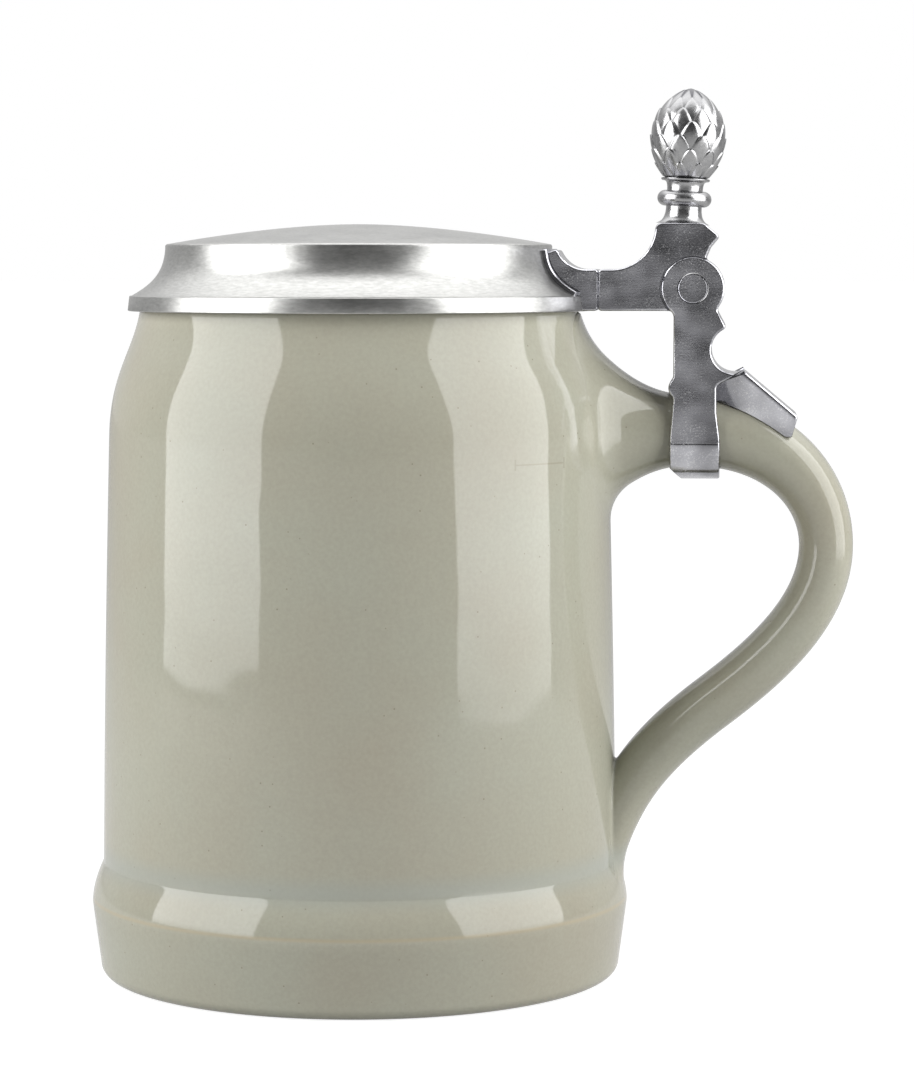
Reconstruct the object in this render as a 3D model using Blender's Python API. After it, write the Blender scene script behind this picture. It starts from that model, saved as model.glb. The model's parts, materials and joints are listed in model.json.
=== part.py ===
"""Stoneware beer stein with a hinged pewter lid.

Metres, +Z up. The origin is the centre of the flat base, on the mug's axis.
+X points to the handle and the hinge. The lid swings about the hinge pin, which lies along Y.
Profiles and outlines are lists of (x, z) points. Angles are in degrees from +X towards +Z.
"""
from math import acos, asin, atan2, cos, degrees, pi, radians, sin, sqrt

import bmesh
import bpy
from mathutils import Matrix, Vector

# Gaps between pieces
SEAM = 0.0003                # between pieces that are luted or soldered together
RUNNING = 0.0003             # between the hinge's rings, and round its pin
WELD = 0.00001               # points of one piece that lie closer than this are one point

# Mug
MUG_RADIUS = 0.0482          # outside of the wall, just above the foot
MUG_HEIGHT = 0.1257          # base to the top of the lip
WALL = 0.0050
FLOOR = 0.0075
WALL_LEAN = 0.0016           # how far the wall leans in, from the foot to the shoulder
FOOT_FLARE = 0.0021          # how far the foot band stands out from the wall
FOOT_BAND = 0.0146           # height of the upright band
FOOT_SLOPE = 0.0084          # height of the slope between the band and the wall
FOOT_PULL = 0.0027           # how softly the slope turns at its two ends
FOOT_DRAFT = 0.0015          # how much narrower the band is at the base
BASE_EDGE = 0.0022           # rounding under the band
SHOULDER_DEPTH = 0.0222      # lip top down to where the wall starts to curve in
SHOULDER_STEP = 0.00585      # how far the neck stands inside the wall
SHOULDER_BEND = 0.0070       # length of the curve's pull at the wall
NECK_BEND = 0.0058           # length of the curve's pull at the lip
NECK_LEAN = 8.5              # the neck still leans in by this angle below the lip
LIP_EDGE = 0.0015            # rounding of the lip
INNER_CORNER = 0.0060        # rounding between the floor and the wall

# Lid
LID_PLAY = 0.00075           # sideways play of the skirt round the lip
LID_SKIRT = 0.0020           # how far the skirt hangs below the seat
LID_SKIRT_WALL = 0.0015
LID_BAND = 0.0026            # height of the upright band round the edge
LID_BAND_EDGE = 0.0003
LID_BAND_DRAFT = 0.0003      # how much narrower the band is at its top
LID_SEAT = 0.0026            # width of the ring that rests on the lip
LID_COVE_STEP = 0.0070       # how far the top stands inside the band
LID_COVE_HEIGHT = 0.00875
LID_TOP_EDGE = 0.0007        # rounding between the cove and the dome
LID_DOME_RISE = 0.0037
LID_WALL = 0.0016

# Hinge
HINGE_REACH = 0.0192         # lid edge to the pin's centre
HINGE_RISE = 0.0025          # lip top to the pin's centre
RING_RADIUS = 0.0058
PIN_RADIUS = 0.0027
MIDDLE_RING = 0.0030         # width of the strap's middle ring
OUTER_RING = 0.0031          # width of each of the strap's two outer rings
PIN_SHORTFALL = 0.0001       # the pin's ends lie this far inside the rings
PLATE_EDGE = 0.0005          # bevel along the cast plates' edges
LID_OPEN = 105.0             # how far the lid swings, in degrees
STOP_SLACK = 3.0             # swing that is left before the hook meets the spur, in degrees

# Shank: the arm from the lid to the hinge, with the block that carries the thumblift
SHANK_BELOW = 0.0041         # pin centre down to the arm's underside
SHANK_ABOVE = 0.0035         # pin centre up to the arm's top
BLOCK_HEIGHT = 0.0120        # pin centre up to the block's top
BLOCK_BACK = 0.0069          # pin centre to the block's side above the lid
BLOCK_CURVE = 0.0080         # radius of the hollow between the arm and the block
BLOCK_FRONT = 0.0026         # pin centre to the end of the block's flat top
BLOCK_CORNER = 0.0008
HOOK_ANGLE = 67.0            # where the hook leaves the ring
HOOK_ROOT = 0.0082           # hook's hollow, from the pin's centre
HOOK_TIP = 0.0103            # hook's point, from the pin's centre
HOOK_LEAN = 4.0              # the point leans forward by this angle

# Tang: the bracket on the lid
TANG_LENGTH = 0.0019         # lid edge to the joint with the shank
TANG_FLAT = 0.0022           # level stretch of its top, before the hollow
TANG_CURVE = 0.0057          # radius of the hollow above the tang
TANG_SWEEP = 72.0            # how far round that hollow turns up
LEAF_ANGLE = 15.0            # the leaf reaches this far round the lid, each way
LEAF_WALL = 0.0010

# Strap: the post on the handle
POST_BACK = 0.0035           # pin centre to the post's side that faces the mug
POST_FRONT = 0.0044          # pin centre to the post's other side
SPUR_TIP = 0.0092            # spur's point, from the pin's centre
SPUR_LEAN = 8.5              # the spur's point leans back by this angle
NOTCH_RADIUS = 0.0043
NOTCH_START = 111.0          # the notch runs from this angle round its own centre
NOTCH_END = 300.0
TAIL_STEP = 0.0005           # the tail lies this far below and inside the post's corner
TAIL_LENGTH = 0.0126
TAIL_SLOPE = 40.0            # the tail falls by this angle
TAIL_END = 0.0042            # depth of the tail's end face
TAIL_FLANK = 29.0            # the tail's sides lean in by this angle
TAIL_END_LEAN = 65.0         # angle between the tail's top and its end face
LEG_WALL = 0.0012            # strap's legs, where the handle is widest between them
LEG_DROP = 0.0024            # handle's centre line down to the ends of the legs
CLASP_WALL = 0.0015
LEG_FLARE = 0.0050           # height over which the legs widen to the clasp
CLASP_LAP = 0.0006           # how much wider than the post the clasp is, each way
CLASP_CORNER = 0.0022        # bevel of the clasp's lower corner that faces the mug

# Handle
HANDLE_DROP = 0.0238         # lip top down to the handle's centre line at the strap
HANDLE_REACH = 0.0388        # mug wall to the centre line's outermost point
HANDLE_CROWN = 0.0213        # centre line's fall from the strap to that point
HANDLE_BOW = 0.0296          # its fall from there to where the lower arm is straight
HANDLE_ELBOW_REACH = 0.0178  # mug wall to the centre line there
HANDLE_ELBOW_SLOPE = 37.5    # the lower arm falls to the mug by this angle
HANDLE_ROOT = 0.0165         # height where the centre line ends, inside the wall
HANDLE_ROOT_DEPTH = 0.0048   # how far inside the wall's face it ends
HANDLE_ROOT_LEAN = 17.0      # how far the lower end leans from upright
HANDLE_WIDTH = 0.0150
STRAP_THICKNESS = 0.0134     # handle's thickness under the strap
BELLY_THICKNESS = 0.0100
ELBOW_THICKNESS = 0.0102
ROOT_THICKNESS = 0.0090
TRUMPET = 0.0130             # how much thicker the upper end is where it meets the mug
TRUMPET_WIDTH = 0.0070       # how much wider it is there
TRUMPET_LENGTH = 0.0143

# How strongly each end of a curve pulls it, as a share of the curve's own run or rise
CROWN_PULL = 0.60
BELLY_PULL_UP = 0.54
BELLY_PULL_DOWN = 0.42
ELBOW_PULL_UP = 0.40
ELBOW_PULL_DOWN = 0.58
ROOT_PULL = 0.435
COVE_FOOT_PULL = (0.63, 0.26)
COVE_TOP_PULL = (0.06, 0.50)
CEILING_FOOT_PULL = (0.50, 0.20)
CEILING_TOP_PULL = (0.10, 0.50)

# Thumblift
STEM_SHIFT = 0.0020          # pin centre to the stem's centre, towards the lid
STEM_LEAN = 3.2              # lean away from the lid, in degrees
STEM_FOOT_RADIUS = 0.0046
STEM_NECK_RADIUS = 0.0034
STEM_FOOT_HEIGHT = 0.0028
BEAD_RADIUS = 0.0050
BEAD_HEIGHT = 0.0029
UPPER_NECK_HEIGHT = 0.0023
COLLAR_RADIUS = 0.0045
CONE_RADIUS = 0.00655
CONE_HEIGHT = 0.0166
CONE_BELLY = 0.45            # where the cone is thickest, as a share of its height
SCALES_ROUND = 10
SCALE_ROWS = 7
SCALE_RELIEF = 0.00045       # how far a scale's point stands out
CONE_TIP = 0.45              # flat top of the cone, as a share of one row

# Facets
ROUND_STEPS = 64             # mug and lid
RING_STEPS = 32              # hinge rings, pin and stem
HANDLE_SIDES = 20
HANDLE_STEPS = 8             # rings on each stretch of the handle

# Places worked out from the sizes above
WALL_TOP_RADIUS = MUG_RADIUS - WALL_LEAN
LIP_RADIUS = WALL_TOP_RADIUS - SHOULDER_STEP
SEAT_HEIGHT = MUG_HEIGHT + SEAM
LID_RADIUS = LIP_RADIUS + LID_PLAY + LID_SKIRT_WALL
LID_BOTTOM = SEAT_HEIGHT - LID_SKIRT
LID_TOP_RADIUS = LID_RADIUS - LID_COVE_STEP
LID_COVE_TOP = LID_BOTTOM + LID_BAND + LID_COVE_HEIGHT
HINGE_X = LID_RADIUS + HINGE_REACH
HINGE_Z = MUG_HEIGHT + HINGE_RISE
HINGE_WIDTH = HANDLE_WIDTH + 2 * (SEAM + LEG_WALL)
HALF_WIDTH = HINGE_WIDTH / 2
JOINT_X = LID_RADIUS + TANG_LENGTH
HANDLE_TOP = MUG_HEIGHT - HANDLE_DROP
HANDLE_BELLY = HANDLE_TOP - HANDLE_CROWN
HANDLE_ELBOW = HANDLE_BELLY - HANDLE_BOW


def point_at(angle, radius, centre=(0.0, 0.0)):
    """Point at an angle and a distance from a centre."""
    turn = radians(angle)
    return (centre[0] + radius * cos(turn), centre[1] + radius * sin(turn))


def arc(centre, radius, start, end, steps):
    """Points along an arc, both ends included."""
    return [point_at(start + (end - start) * i / steps, radius, centre) for i in range(steps + 1)]


def bezier(p0, p1, p2, p3, steps):
    """Points along a cubic curve, both ends included."""
    points = []
    for i in range(steps + 1):
        t = i / steps
        weights = ((1 - t) ** 3, 3 * t * (1 - t) ** 2, 3 * t * t * (1 - t), t ** 3)
        x = sum(w * p[0] for w, p in zip(weights, (p0, p1, p2, p3)))
        z = sum(w * p[1] for w, p in zip(weights, (p0, p1, p2, p3)))
        points.append((x, z))
    return points


def offset(points, distance):
    """Path moved to its right-hand side, as walked from the first point to the last."""
    moved = []
    for i, point in enumerate(points):
        normals = []
        for a, b in ((i - 1, i), (i, i + 1)):
            if 0 <= a and b < len(points):
                step = Vector(points[b]) - Vector(points[a])
                normals.append(Vector((step.y, -step.x)).normalized())
        normal = sum(normals, Vector((0.0, 0.0))).normalized()
        moved.append(tuple(Vector(point) + normal * distance / normal.dot(normals[0])))
    return moved


def material(name, colour, roughness, metallic):
    """Principled material with one colour."""
    made = bpy.data.materials.new(name)
    made.use_nodes = True
    shader = made.node_tree.nodes["Principled BSDF"]
    shader.inputs["Base Color"].default_value = (*colour, 1.0)
    shader.inputs["Roughness"].default_value = roughness
    shader.inputs["Metallic"].default_value = metallic
    return made


def to_object(name, bm):
    """Close a bmesh into a named object whose faces point outwards."""
    bmesh.ops.recalc_face_normals(bm, faces=bm.faces)
    mesh = bpy.data.meshes.new(name)
    bm.to_mesh(mesh)
    bm.free()
    made = bpy.data.objects.new(name, mesh)
    bpy.context.collection.objects.link(made)
    return made


def turned(name, profile, steps):
    """Solid of revolution about Z. The profile starts and ends on the axis."""
    bm = bmesh.new()
    verts = [bm.verts.new((x, 0.0, z)) for x, z in profile]
    edges = [bm.edges.new(pair) for pair in zip(verts, verts[1:])]
    bmesh.ops.spin(bm, geom=verts + edges, cent=(0, 0, 0), axis=(0, 0, 1), angle=2 * pi,
                   steps=steps, use_merge=True)
    bmesh.ops.remove_doubles(bm, verts=bm.verts, dist=WELD)
    return to_object(name, bm)


def turned_sector(name, outline, half_angle, steps):
    """Closed outline turned about Z, from minus to plus the half angle."""
    bm = bmesh.new()
    verts = [bm.verts.new((x, 0.0, z)) for x, z in outline]
    edges = [bm.edges.new(pair) for pair in zip(verts, verts[1:] + verts[:1])]
    bmesh.ops.rotate(bm, verts=verts, cent=(0, 0, 0), matrix=Matrix.Rotation(-half_angle, 3, "Z"))
    swept = bmesh.ops.spin(bm, geom=verts + edges, cent=(0, 0, 0), axis=(0, 0, 1),
                           angle=2 * half_angle, steps=steps)
    last = [e for e in swept["geom_last"] if isinstance(e, bmesh.types.BMEdge)]
    bmesh.ops.edgeloop_fill(bm, edges=edges)
    bmesh.ops.edgeloop_fill(bm, edges=last)
    return to_object(name, bm)


def plate(name, outline, half_width, edge=0.0):
    """Outline in the XZ plane drawn out along Y, with its two rims bevelled."""
    bm = bmesh.new()
    front = bm.faces.new([bm.verts.new((x, -half_width, z)) for x, z in outline])
    drawn = bmesh.ops.extrude_face_region(bm, geom=[front], use_keep_orig=True)["geom"]
    moved = [v for v in drawn if isinstance(v, bmesh.types.BMVert)]
    bmesh.ops.translate(bm, verts=moved, vec=(0.0, 2 * half_width, 0.0))
    if edge:
        caps = [front] + [f for f in drawn if isinstance(f, bmesh.types.BMFace)]
        rims = {e for cap in caps for e in cap.edges}
        bmesh.ops.bevel(bm, geom=list(rims), offset=edge, offset_type="OFFSET", segments=1,
                        profile=0.5, affect="EDGES", clamp_overlap=True, material=-1)
    return to_object(name, bm)


def drum(name, radius, start, end):
    """Cylinder about the hinge axis, between two places along Y."""
    bm = bmesh.new()
    place = Matrix.Translation((HINGE_X, (start + end) / 2, HINGE_Z)) @ Matrix.Rotation(pi / 2, 4, "X")
    bmesh.ops.create_cone(bm, cap_ends=True, segments=RING_STEPS, radius1=radius, radius2=radius,
                          depth=end - start, matrix=place)
    return to_object(name, bm)


def loft(name, rings):
    """Closed skin over a row of rings that have the same number of points."""
    bm = bmesh.new()
    loops = [[bm.verts.new(p) for p in ring] for ring in rings]
    for low, high in zip(loops, loops[1:]):
        for i in range(len(low)):
            bm.faces.new((low[i - 1], low[i], high[i], high[i - 1]))
    bm.faces.new(loops[0])
    bm.faces.new(loops[-1])
    return to_object(name, bm)


def combine(target, tool, operation):
    """Cut a piece with a tool, join them or keep what they share. The tool is used up.

    Points of the result that fall closer together than the weld distance become one.
    """
    step = target.modifiers.new(operation.title(), "BOOLEAN")
    step.operation = operation
    step.solver = "EXACT"
    step.object = tool
    depsgraph = bpy.context.evaluated_depsgraph_get()
    result = bpy.data.meshes.new_from_object(target.evaluated_get(depsgraph))
    bm = bmesh.new()
    bm.from_mesh(result)
    bmesh.ops.dissolve_degenerate(bm, dist=WELD, edges=bm.edges)
    bm.to_mesh(result)
    bm.free()
    target.modifiers.clear()
    old = target.data
    target.data = result
    result.name = target.name
    bpy.data.meshes.remove(old)
    bpy.data.objects.remove(tool)


def mug_shoulder():
    """Outer profile from the top of the wall, over the shoulder, to the start of the lip."""
    wall_top = (WALL_TOP_RADIUS, MUG_HEIGHT - SHOULDER_DEPTH)
    wall_lean = degrees(atan2(wall_top[1] - FOOT_BAND - FOOT_SLOPE, -WALL_LEAN))
    lip = (LIP_RADIUS, MUG_HEIGHT - LIP_EDGE)
    return bezier(wall_top, point_at(wall_lean, SHOULDER_BEND, wall_top),
                  point_at(NECK_LEAN - 90, NECK_BEND, lip), lip, 7)


def mug_outside():
    """Outer profile of the mug, from the edge of the base up to the lip."""
    foot = MUG_RADIUS + FOOT_FLARE
    base = foot - FOOT_DRAFT
    slope_top = FOOT_BAND + FOOT_SLOPE
    points = arc((base - BASE_EDGE, BASE_EDGE), BASE_EDGE, -90, 0, 3)
    points += bezier((foot, FOOT_BAND), (foot, FOOT_BAND + FOOT_PULL),
                     (MUG_RADIUS, slope_top - FOOT_PULL), (MUG_RADIUS, slope_top), 7)
    return points + mug_shoulder()


def make_body():
    lip_height = MUG_HEIGHT - LIP_EDGE
    profile = [(0.0, 0.0)] + mug_outside()
    profile += arc((LIP_RADIUS - LIP_EDGE, lip_height), LIP_EDGE, 30, 90, 2)
    profile += arc((LIP_RADIUS - WALL + LIP_EDGE, lip_height), LIP_EDGE, 90, 180, 3)
    profile += [(x - WALL, z) for x, z in reversed(mug_shoulder()[:-1])]
    corner = (MUG_RADIUS - WALL - INNER_CORNER, FLOOR + INNER_CORNER)
    profile += arc(corner, INNER_CORNER, 0, -90, 4)
    profile.append((0.0, FLOOR))
    return turned("stein_body", profile, ROUND_STEPS)


def mug_keepout():
    """Filled shape of the mug with the luting gap round it."""
    outside = offset(mug_outside(), SEAM)
    top = outside[-1]
    profile = [(0.0, -SEAM), (outside[0][0], -SEAM)] + outside + [(0.0, top[1])]
    return turned("mug_keepout", profile, ROUND_STEPS)


def handle_line():
    """Centre line of the handle with its thickness and width, from the upper end to the lower."""
    start = (WALL_TOP_RADIUS - WALL, HANDLE_TOP)
    strap = (HINGE_X, HANDLE_TOP)
    belly = (MUG_RADIUS + HANDLE_REACH, HANDLE_BELLY)
    elbow = (MUG_RADIUS + HANDLE_ELBOW_REACH, HANDLE_ELBOW)
    root = (MUG_RADIUS - HANDLE_ROOT_DEPTH, HANDLE_ROOT)
    sweep = belly[0] - strap[0]
    curl = elbow[1] - root[1]
    third = (strap[0] - start[0]) / 3
    stretches = (
        (start, (start[0] + third, start[1]), (strap[0] - third, strap[1]), strap),
        (strap, (strap[0] + CROWN_PULL * sweep, strap[1]),
         (belly[0], belly[1] + BELLY_PULL_UP * HANDLE_CROWN), belly),
        (belly, (belly[0], belly[1] - BELLY_PULL_DOWN * HANDLE_BOW),
         point_at(HANDLE_ELBOW_SLOPE, ELBOW_PULL_UP * HANDLE_BOW, elbow), elbow),
        (elbow, point_at(HANDLE_ELBOW_SLOPE + 180, ELBOW_PULL_DOWN * curl, elbow),
         point_at(90 - HANDLE_ROOT_LEAN, ROOT_PULL * curl, root), root))
    thickness = (STRAP_THICKNESS, STRAP_THICKNESS, BELLY_THICKNESS, ELBOW_THICKNESS, ROOT_THICKNESS)
    line = []
    for i, stretch in enumerate(stretches):
        for j, point in enumerate(bezier(*stretch, HANDLE_STEPS)):
            if j == 0 and i > 0:
                continue
            t = j / HANDLE_STEPS
            ease = t * t * (3 - 2 * t)
            thick = thickness[i] + (thickness[i + 1] - thickness[i]) * ease
            flare = max(0.0, 1 - (point[0] - WALL_TOP_RADIUS) / TRUMPET_LENGTH) if i == 0 else 0.0
            line.append((point, thick + TRUMPET * flare ** 2, HANDLE_WIDTH + TRUMPET_WIDTH * flare ** 2))
    return line


def handle_solid(name, grow):
    """Oval bar along the handle's centre line, made larger all round by grow."""
    line = handle_line()
    rings = []
    for i, (point, thick, width) in enumerate(line):
        before = Vector(line[max(i - 1, 0)][0])
        after = Vector(line[min(i + 1, len(line) - 1)][0])
        along = (after - before).normalized()
        ring = []
        for k in range(HANDLE_SIDES):
            turn = 2 * pi * k / HANDLE_SIDES
            out = (thick / 2 + grow) * cos(turn)
            ring.append((point[0] - along.y * out, (width / 2 + grow) * sin(turn), point[1] + along.x * out))
        rings.append(ring)
    return loft(name, rings)


def make_handle():
    handle = handle_solid("handle", 0.0)
    combine(handle, mug_keepout(), "DIFFERENCE")
    return handle


def lid_cove():
    """Hollow side of the lid, from above its band up to the top edge."""
    foot = (LID_RADIUS - LID_BAND_DRAFT - LID_BAND_EDGE, LID_BOTTOM + LID_BAND + LID_BAND_EDGE)
    top = (LID_TOP_RADIUS, LID_COVE_TOP)
    run = foot[0] - top[0]
    rise = top[1] - foot[1]
    foot_pull = (foot[0] - COVE_FOOT_PULL[0] * run, foot[1] + COVE_FOOT_PULL[1] * rise)
    top_pull = (top[0] + COVE_TOP_PULL[0] * run, top[1] - COVE_TOP_PULL[1] * rise)
    return bezier(foot, foot_pull, top_pull, top, 8)


def lid_outside():
    """Outer profile of the lid, from the bottom of its band up to the edge of the dome."""
    points = [(LID_RADIUS - LID_BAND_EDGE, LID_BOTTOM), (LID_RADIUS, LID_BOTTOM + LID_BAND_EDGE),
              (LID_RADIUS - LID_BAND_DRAFT, LID_BOTTOM + LID_BAND)]
    points += lid_cove()
    points += arc((LID_TOP_RADIUS - LID_TOP_EDGE, LID_COVE_TOP + LID_TOP_EDGE), LID_TOP_EDGE, 0, 80, 3)
    return points


def dome(edge, rise, steps):
    """Low dome from its edge to the axis, on a sphere."""
    radius = (edge[0] ** 2 + rise ** 2) / (2 * rise)
    half = degrees(asin(edge[0] / radius))
    return arc((0.0, edge[1] + rise - radius), radius, 90 - half, 90, steps)


def make_lid():
    outside = lid_outside()
    skirt_inside = LID_RADIUS - LID_SKIRT_WALL
    seat_inside = skirt_inside - LID_SEAT
    ceiling_edge = (LID_TOP_RADIUS - LID_WALL, LID_COVE_TOP + LID_TOP_EDGE - LID_WALL)
    run = seat_inside - ceiling_edge[0]
    rise = ceiling_edge[1] - SEAT_HEIGHT
    inside = [(skirt_inside, LID_BOTTOM), (skirt_inside, SEAT_HEIGHT)]
    foot_pull = (seat_inside - CEILING_FOOT_PULL[0] * run, SEAT_HEIGHT + CEILING_FOOT_PULL[1] * rise)
    top_pull = (ceiling_edge[0] + CEILING_TOP_PULL[0] * run, ceiling_edge[1] - CEILING_TOP_PULL[1] * rise)
    inside += bezier((seat_inside, SEAT_HEIGHT), foot_pull, top_pull, ceiling_edge, 6)
    inside += dome(ceiling_edge, LID_DOME_RISE, 5)[1:]
    profile = list(reversed(inside)) + outside + dome(outside[-1], LID_DOME_RISE, 6)[1:]
    return turned("lid", profile, ROUND_STEPS)


def lid_keepout():
    """Filled shape of the lid with the soldering gap round it, carried on down below the skirt."""
    outside = offset(lid_outside(), SEAM)
    edge = outside[-1]
    floor = LID_BOTTOM - HINGE_WIDTH
    profile = [(0.0, floor), (LID_RADIUS + SEAM, floor)] + outside[1:] + [(0.0, edge[1])]
    return turned("lid_keepout", profile, ROUND_STEPS)


def make_tang():
    joint = JOINT_X - SEAM / 2
    top = HINGE_Z + SHANK_ABOVE
    hollow = (joint - TANG_FLAT, top + TANG_CURVE)
    outline = [(joint, HINGE_Z - SHANK_BELOW), (joint, top)]
    outline += arc(hollow, TANG_CURVE, -90, -90 - TANG_SWEEP, 6)
    outline.append((LID_TOP_RADIUS - LID_COVE_STEP, outline[-1][1]))
    outline.append((LID_TOP_RADIUS - LID_COVE_STEP, HINGE_Z - SHANK_BELOW))
    tang = plate("lid_tang", outline, HALF_WIDTH, PLATE_EDGE)
    cove = lid_cove()
    leaf_outline = offset(cove, -LID_WALL) + list(reversed(offset(cove, SEAM + LEAF_WALL)))
    combine(tang, turned_sector("leaf", leaf_outline, radians(LEAF_ANGLE), 8), "UNION")
    combine(tang, lid_keepout(), "DIFFERENCE")
    return tang


def ring_layers():
    """Places along Y where the strap's three rings lie."""
    return ((-HALF_WIDTH, -HALF_WIDTH + OUTER_RING), (-MIDDLE_RING / 2, MIDDLE_RING / 2),
            (HALF_WIDTH - OUTER_RING, HALF_WIDTH))


def bore(piece):
    """Bore a hinge piece for the pin."""
    combine(piece, drum("bore", PIN_RADIUS + RUNNING, -HINGE_WIDTH, HINGE_WIDTH), "DIFFERENCE")


def make_shank():
    pin = (HINGE_X, HINGE_Z)
    joint = JOINT_X + SEAM / 2
    under = 180 + degrees(asin(SHANK_BELOW / RING_RADIUS))
    block_top = HINGE_Z + BLOCK_HEIGHT
    hook = point_at(HOOK_ANGLE - HOOK_LEAN, HOOK_TIP, pin)
    hollow = (HINGE_X - BLOCK_BACK - BLOCK_CURVE, HINGE_Z + SHANK_ABOVE + BLOCK_CURVE)
    past_corner = max(0.0, hollow[1] + BLOCK_CORNER - block_top)
    outline = [(joint, HINGE_Z - SHANK_BELOW)]
    outline += arc(pin, RING_RADIUS, under, 360 + HOOK_ANGLE, 18)
    outline += [point_at(HOOK_ANGLE, HOOK_ROOT, pin), hook]
    outline += [(hook[0] - BLOCK_CORNER, hook[1] + BLOCK_CORNER)]
    outline += [(HINGE_X + BLOCK_FRONT, block_top), (HINGE_X - BLOCK_BACK + BLOCK_CORNER, block_top)]
    outline += arc(hollow, BLOCK_CURVE, -degrees(asin(past_corner / BLOCK_CURVE)), -90, 8)
    outline.append((joint, HINGE_Z + SHANK_ABOVE))
    shank = plate("shank", outline, HALF_WIDTH, PLATE_EDGE)
    for start, end in ring_layers():
        slot = drum("slot", RING_RADIUS + RUNNING, start - RUNNING, end + RUNNING)
        combine(shank, slot, "DIFFERENCE")
    bore(shank)
    return shank


def strap_post():
    """Plate of the strap: its ring, the spur that stops the lid, the notch and the two legs."""
    pin = (HINGE_X, HINGE_Z)
    back = 180 + degrees(acos(POST_BACK / RING_RADIUS))
    spur_root = HOOK_ANGLE - LID_OPEN - STOP_SLACK
    spur = point_at(spur_root - SPUR_LEAN, SPUR_TIP, pin)
    notch = point_at(NOTCH_START + 180, NOTCH_RADIUS, spur)
    leg_end = HANDLE_TOP - LEG_DROP
    outline = [(HINGE_X - POST_BACK - CLASP_LAP, leg_end), (HINGE_X - POST_BACK, leg_end + LEG_FLARE)]
    outline += arc(pin, RING_RADIUS, back, spur_root, 24)
    outline += arc(notch, NOTCH_RADIUS, NOTCH_START, NOTCH_END, 14)
    corner = outline[-1]
    outline += [(HINGE_X + POST_FRONT, corner[1] - (corner[0] - HINGE_X - POST_FRONT) / 2)]
    outline += [(HINGE_X + POST_FRONT, leg_end + LEG_FLARE), (HINGE_X + POST_FRONT + CLASP_LAP, leg_end)]
    return plate("hinge_strap", outline, HALF_WIDTH, PLATE_EDGE), corner


def strap_tail(corner):
    """Wedge that lies along the handle behind the post. Its sides lean in towards the handle."""
    start = point_at(-TAIL_SLOPE - 90, TAIL_STEP, corner)
    end = point_at(-TAIL_SLOPE, TAIL_LENGTH, start)
    inside = HINGE_X + POST_FRONT / 2
    half_width = HALF_WIDTH - TAIL_STEP
    outline = [start, end, point_at(-TAIL_SLOPE - TAIL_END_LEAN, TAIL_END, end),
               (inside, HANDLE_TOP), (inside, corner[1] - 3 * TAIL_STEP)]
    tail = plate("tail", outline, half_width)
    bm = bmesh.new()
    bm.from_mesh(tail.data)
    down = Vector((-sin(radians(TAIL_SLOPE)), 0.0, -cos(radians(TAIL_SLOPE))))
    for side in (-1, 1):
        normal = Vector((0.0, side, 0.0)) * cos(radians(TAIL_FLANK)) + down * sin(radians(TAIL_FLANK))
        edge = Vector((start[0], side * half_width, start[1])) + down * PLATE_EDGE
        cut = bmesh.ops.bisect_plane(bm, geom=bm.verts[:] + bm.edges[:] + bm.faces[:], plane_co=edge,
                                     plane_no=normal, clear_outer=True)
        rim = [e for e in cut["geom_cut"] if isinstance(e, bmesh.types.BMEdge)]
        bmesh.ops.edgeloop_fill(bm, edges=rim)
    bmesh.ops.recalc_face_normals(bm, faces=bm.faces)
    bm.to_mesh(tail.data)
    bm.free()
    return tail


def make_strap():
    strap, corner = strap_post()
    combine(strap, strap_tail(corner), "UNION")
    combine(strap, handle_solid("saddle", SEAM), "DIFFERENCE")
    layers = ring_layers()
    for left, right in zip(layers, layers[1:]):
        slot = drum("slot", RING_RADIUS + RUNNING, left[1], right[0])
        combine(strap, slot, "DIFFERENCE")
    bore(strap)
    return strap


def make_clasp():
    """Band that closes the strap's legs round the underside of the handle."""
    back = HINGE_X - POST_BACK - CLASP_LAP
    front = HINGE_X + POST_FRONT + CLASP_LAP
    top = HANDLE_TOP - LEG_DROP - SEAM
    bottom = HANDLE_TOP - STRAP_THICKNESS / 2 - SEAM - CLASP_WALL
    below = bottom - CLASP_WALL
    outline = [(back, top), (front, top), (front, below), (back + CLASP_CORNER, below),
               (back + CLASP_CORNER, bottom), (back, bottom + CLASP_CORNER)]
    clasp = plate("strap_clasp", outline, HINGE_WIDTH)
    combine(clasp, handle_solid("band_outside", SEAM + CLASP_WALL), "INTERSECT")
    combine(clasp, handle_solid("band_inside", SEAM), "DIFFERENCE")
    return clasp


def make_pin():
    reach = HALF_WIDTH - PIN_SHORTFALL
    return drum("hinge_pin", PIN_RADIUS, -reach, reach)


def cone_radius(share):
    """Radius of the egg-shaped cone at a share of its height."""
    if share < CONE_BELLY:
        below = 1 - share / CONE_BELLY
        return COLLAR_RADIUS + (CONE_RADIUS - COLLAR_RADIUS) * (1 - below ** 2)
    above = (share - CONE_BELLY) / (1 - CONE_BELLY)
    return CONE_RADIUS * sqrt(1 - above ** 2)


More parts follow.
